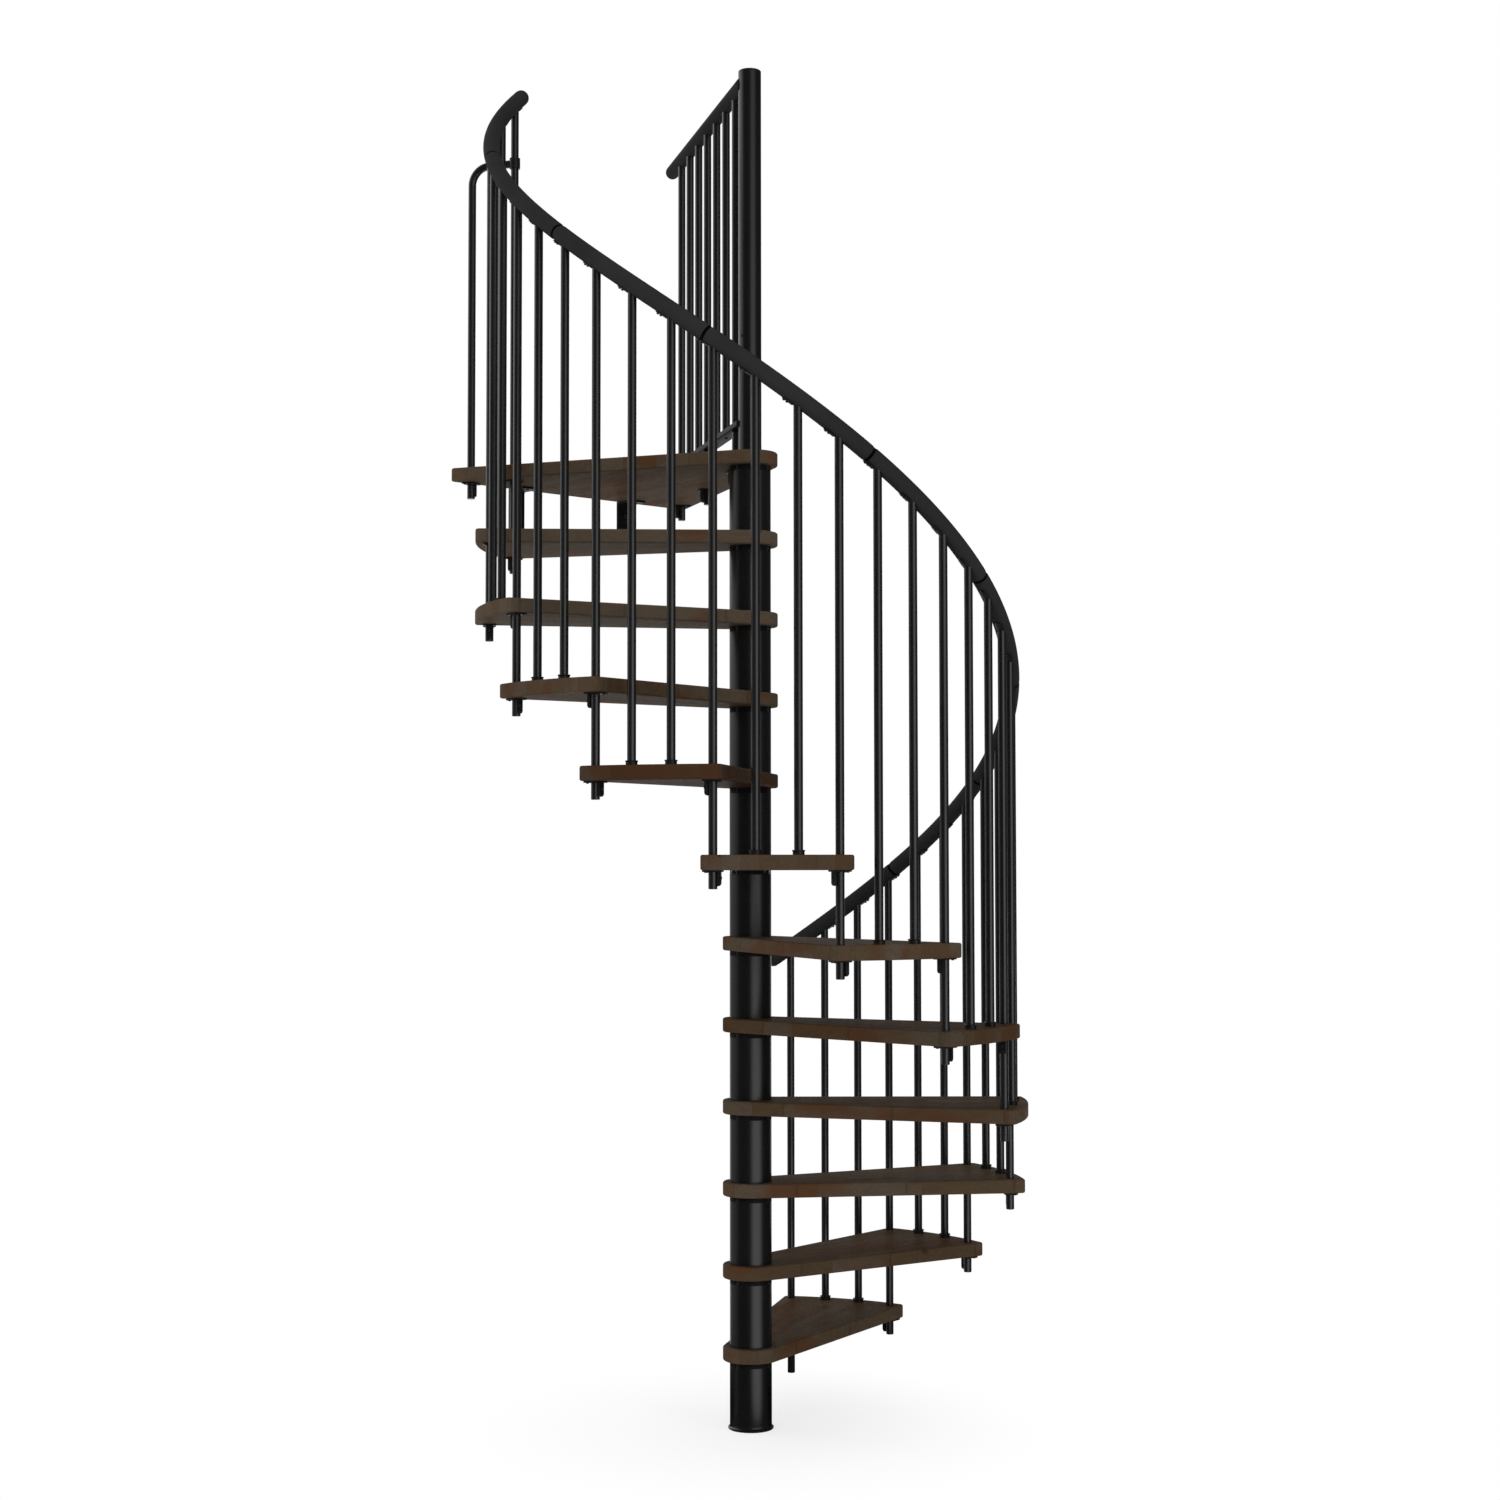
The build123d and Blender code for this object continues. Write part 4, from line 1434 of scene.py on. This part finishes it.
@dataclass
class Studio:
    """The pale floor, the surround, the lights and the camera."""

    floor_radius: float = 4.0
    floor_sides: int = 96
    floor_colour: Colour = (0.95, 0.95, 0.95)
    floor_roughness: float = 0.9
    floor_specular: float = 0.1
    shade_near: float = 0.10
    shade_far: float = 0.85
    shade_lift: float = 0.72
    white: Colour = (1.0, 1.0, 1.0)
    ambient: float = 0.86
    surround: Surround = Surround()
    # Painted reflection in the floor: the height it is looked up from, and where its painted shade behind the
    # column ends
    painted_reflection_height: float = 0.1
    painted_shade_reach: Span = (0.70, 1.20)
    painted_shade_side: Span = (0.05, -0.05)
    camera_place: Triple = (0.0, -6.219, 1.460)
    camera_pitch_deg: float = 2.59
    camera_roll_deg: float = -0.057
    camera_lens: float = 57.43
    camera_sensor: float = 36.0
    camera_shift: Span = (-0.0002, 0.0005)
    lights: tuple[SoftLight, ...] = (
        SoftLight("key", (3.9, -4.3, 2.6), (0.0, 0.0, 1.7), width=0.8, height=2.6, power=50.0),
        SoftLight("fill", (-2.8, -5.0, 2.0), (0.0, 0.0, 1.9), width=1.6, height=2.6, power=60.0),
        SoftLight("rim", (-4.2, 1.8, 2.2), (0.0, 0.0, 1.8), width=2.0, height=3.4, power=35.0),
        SoftLight("top", (0.0, -0.8, 6.5), (0.0, 0.0, 1.5), width=3.5, height=3.5, power=30.0),
    )

    def build(self) -> None:
        """Makes the stage, the surround, the lights and the camera."""
        surround = self.surround.tree()
        self.floor(self.floor_material(surround))
        self.world(surround)
        for light in self.lights:
            light.build()
        self.camera()
        bpy.context.scene.view_settings.view_transform = "Standard"

    def floor(self, material: Material) -> None:
        """Makes a round pale floor that fades to white away from the staircase.

        Args:
            material: The floor's finish.
        """
        mesh = bpy.data.meshes.new("studio_floor")
        shape = bmesh.new()
        bmesh.ops.create_circle(shape, cap_ends=True, segments=self.floor_sides, radius=self.floor_radius)
        shape.to_mesh(mesh)
        shape.free()
        mesh.materials.append(material)
        made = bpy.data.objects.new("studio_floor", mesh)
        bpy.context.scene.collection.objects.link(made)

    def floor_material(self, surround: NodeTree) -> Material:
        """The floor's finish: pale, with the shadow near the staircase and plain white further out.

        Reflections see a painted reflection of the studio's level in it, and painted shade close behind the
        column, where the staircase shades the floor.

        Args:
            surround: The node group that gives the studio's level.

        Returns:
            The material.
        """
        material, wiring, shader, place = new_material("studio_floor")
        wiring.fill(shader, Base_Color=self.floor_colour, Roughness=self.floor_roughness,
                    Specular_IOR_Level=self.floor_specular)
        away = wiring.measure("LENGTH", place)
        # Painted reflection: reflected rays see the floor glow with the studio's level, looked up from a
        # point above the axis
        below = wiring.vector("SUBTRACT", place, (0.0, 0.0, self.painted_reflection_height))
        # Painted shade: close behind the column that glow fades to black, as the staircase's shade on the
        # floor
        front = wiring.ease(wiring.split(place)["Y"], *self.painted_shade_side)
        clear = wiring.math("MAXIMUM", front, wiring.ease(away, *self.painted_shade_reach))
        level = wiring.math("MULTIPLY", wiring.group(surround, Direction=below)["Level"], clear)
        from_camera, reflected = seen_rays(wiring)
        white = wiring.ease(away, self.shade_near, self.shade_far, self.shade_lift)
        share = wiring.math("MAXIMUM", wiring.math("MULTIPLY", white, from_camera), reflected)
        shown = wiring.math("MAXIMUM", level, from_camera)
        # Reflected rays see only this painted reflection, a glow though the floor is no lamp; camera rays see
        # the floor white
        white_and_painted_reflection = wiring.node("ShaderNodeEmission", Color=shown, Strength=1.0).outputs[0]
        mixed = wiring.row("ShaderNodeMixShader", (share, shader.outputs[0], white_and_painted_reflection)).outputs[0]
        wiring.fill(material.node_tree.nodes["Material Output"], Surface=mixed)
        return material

    def world(self, surround: NodeTree) -> None:
        """Makes the world: plain light, seen as white by the camera and as the studio in reflections.

        Args:
            surround: The node group that gives the studio's level.
        """
        world = bpy.data.worlds.new("studio_surround")
        world.use_nodes = True
        world.node_tree.nodes.clear()
        bpy.context.scene.world = world
        wiring = Wiring(world.node_tree)
        direction = wiring.node("ShaderNodeTexCoord").outputs["Generated"]
        from_camera, reflected = seen_rays(wiring)
        shown = wiring.math("MAXIMUM", wiring.group(surround, Direction=direction)["Level"], from_camera)
        plain = wiring.node("ShaderNodeBackground", Color=self.white, Strength=self.ambient).outputs[0]
        studio = wiring.node("ShaderNodeBackground", Color=shown, Strength=1.0).outputs[0]
        share = wiring.math("MAXIMUM", from_camera, reflected)
        mixed = wiring.row("ShaderNodeMixShader", (share, plain, studio)).outputs[0]
        wiring.node("ShaderNodeOutputWorld", Surface=mixed)

    def camera(self) -> None:
        """Sets the camera where the photograph was taken from."""
        lens = bpy.data.cameras.new("photo_camera")
        lens.sensor_width = self.camera_sensor
        lens.lens = self.camera_lens
        lens.shift_x, lens.shift_y = self.camera_shift
        holder = bpy.data.objects.new("photo_camera", lens)
        holder.location = self.camera_place
        level = Matrix.Rotation(math.radians(90.0 + self.camera_pitch_deg), 4, "X")
        roll = Matrix.Rotation(math.radians(self.camera_roll_deg), 4, "Z")
        holder.rotation_euler = (level @ roll).to_euler()
        bpy.context.scene.collection.objects.link(holder)
        bpy.context.scene.camera = holder


def clear_defaults() -> None:
    """Removes the objects that a new Blender file starts with."""
    for name in ("Cube", "Light", "Camera"):
        found = bpy.data.objects.get(name)
        if found is not None:
            bpy.data.objects.remove(found)


def main() -> None:
    """Builds and dresses the staircase, then its stage."""
    logging.basicConfig(level=logging.INFO, format="%(name)s: %(message)s")
    clear_defaults()
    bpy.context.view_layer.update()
    shop = Workshop()
    for kind in (Boards, Column, Balusters, StairRail, LandingRails, WallFixings):
        part = kind(shop)
        part.build()
        part.dress()
        LOG.info("finished %s", kind.__name__)
    Studio().build()


if __name__ == "__main__":
    main()
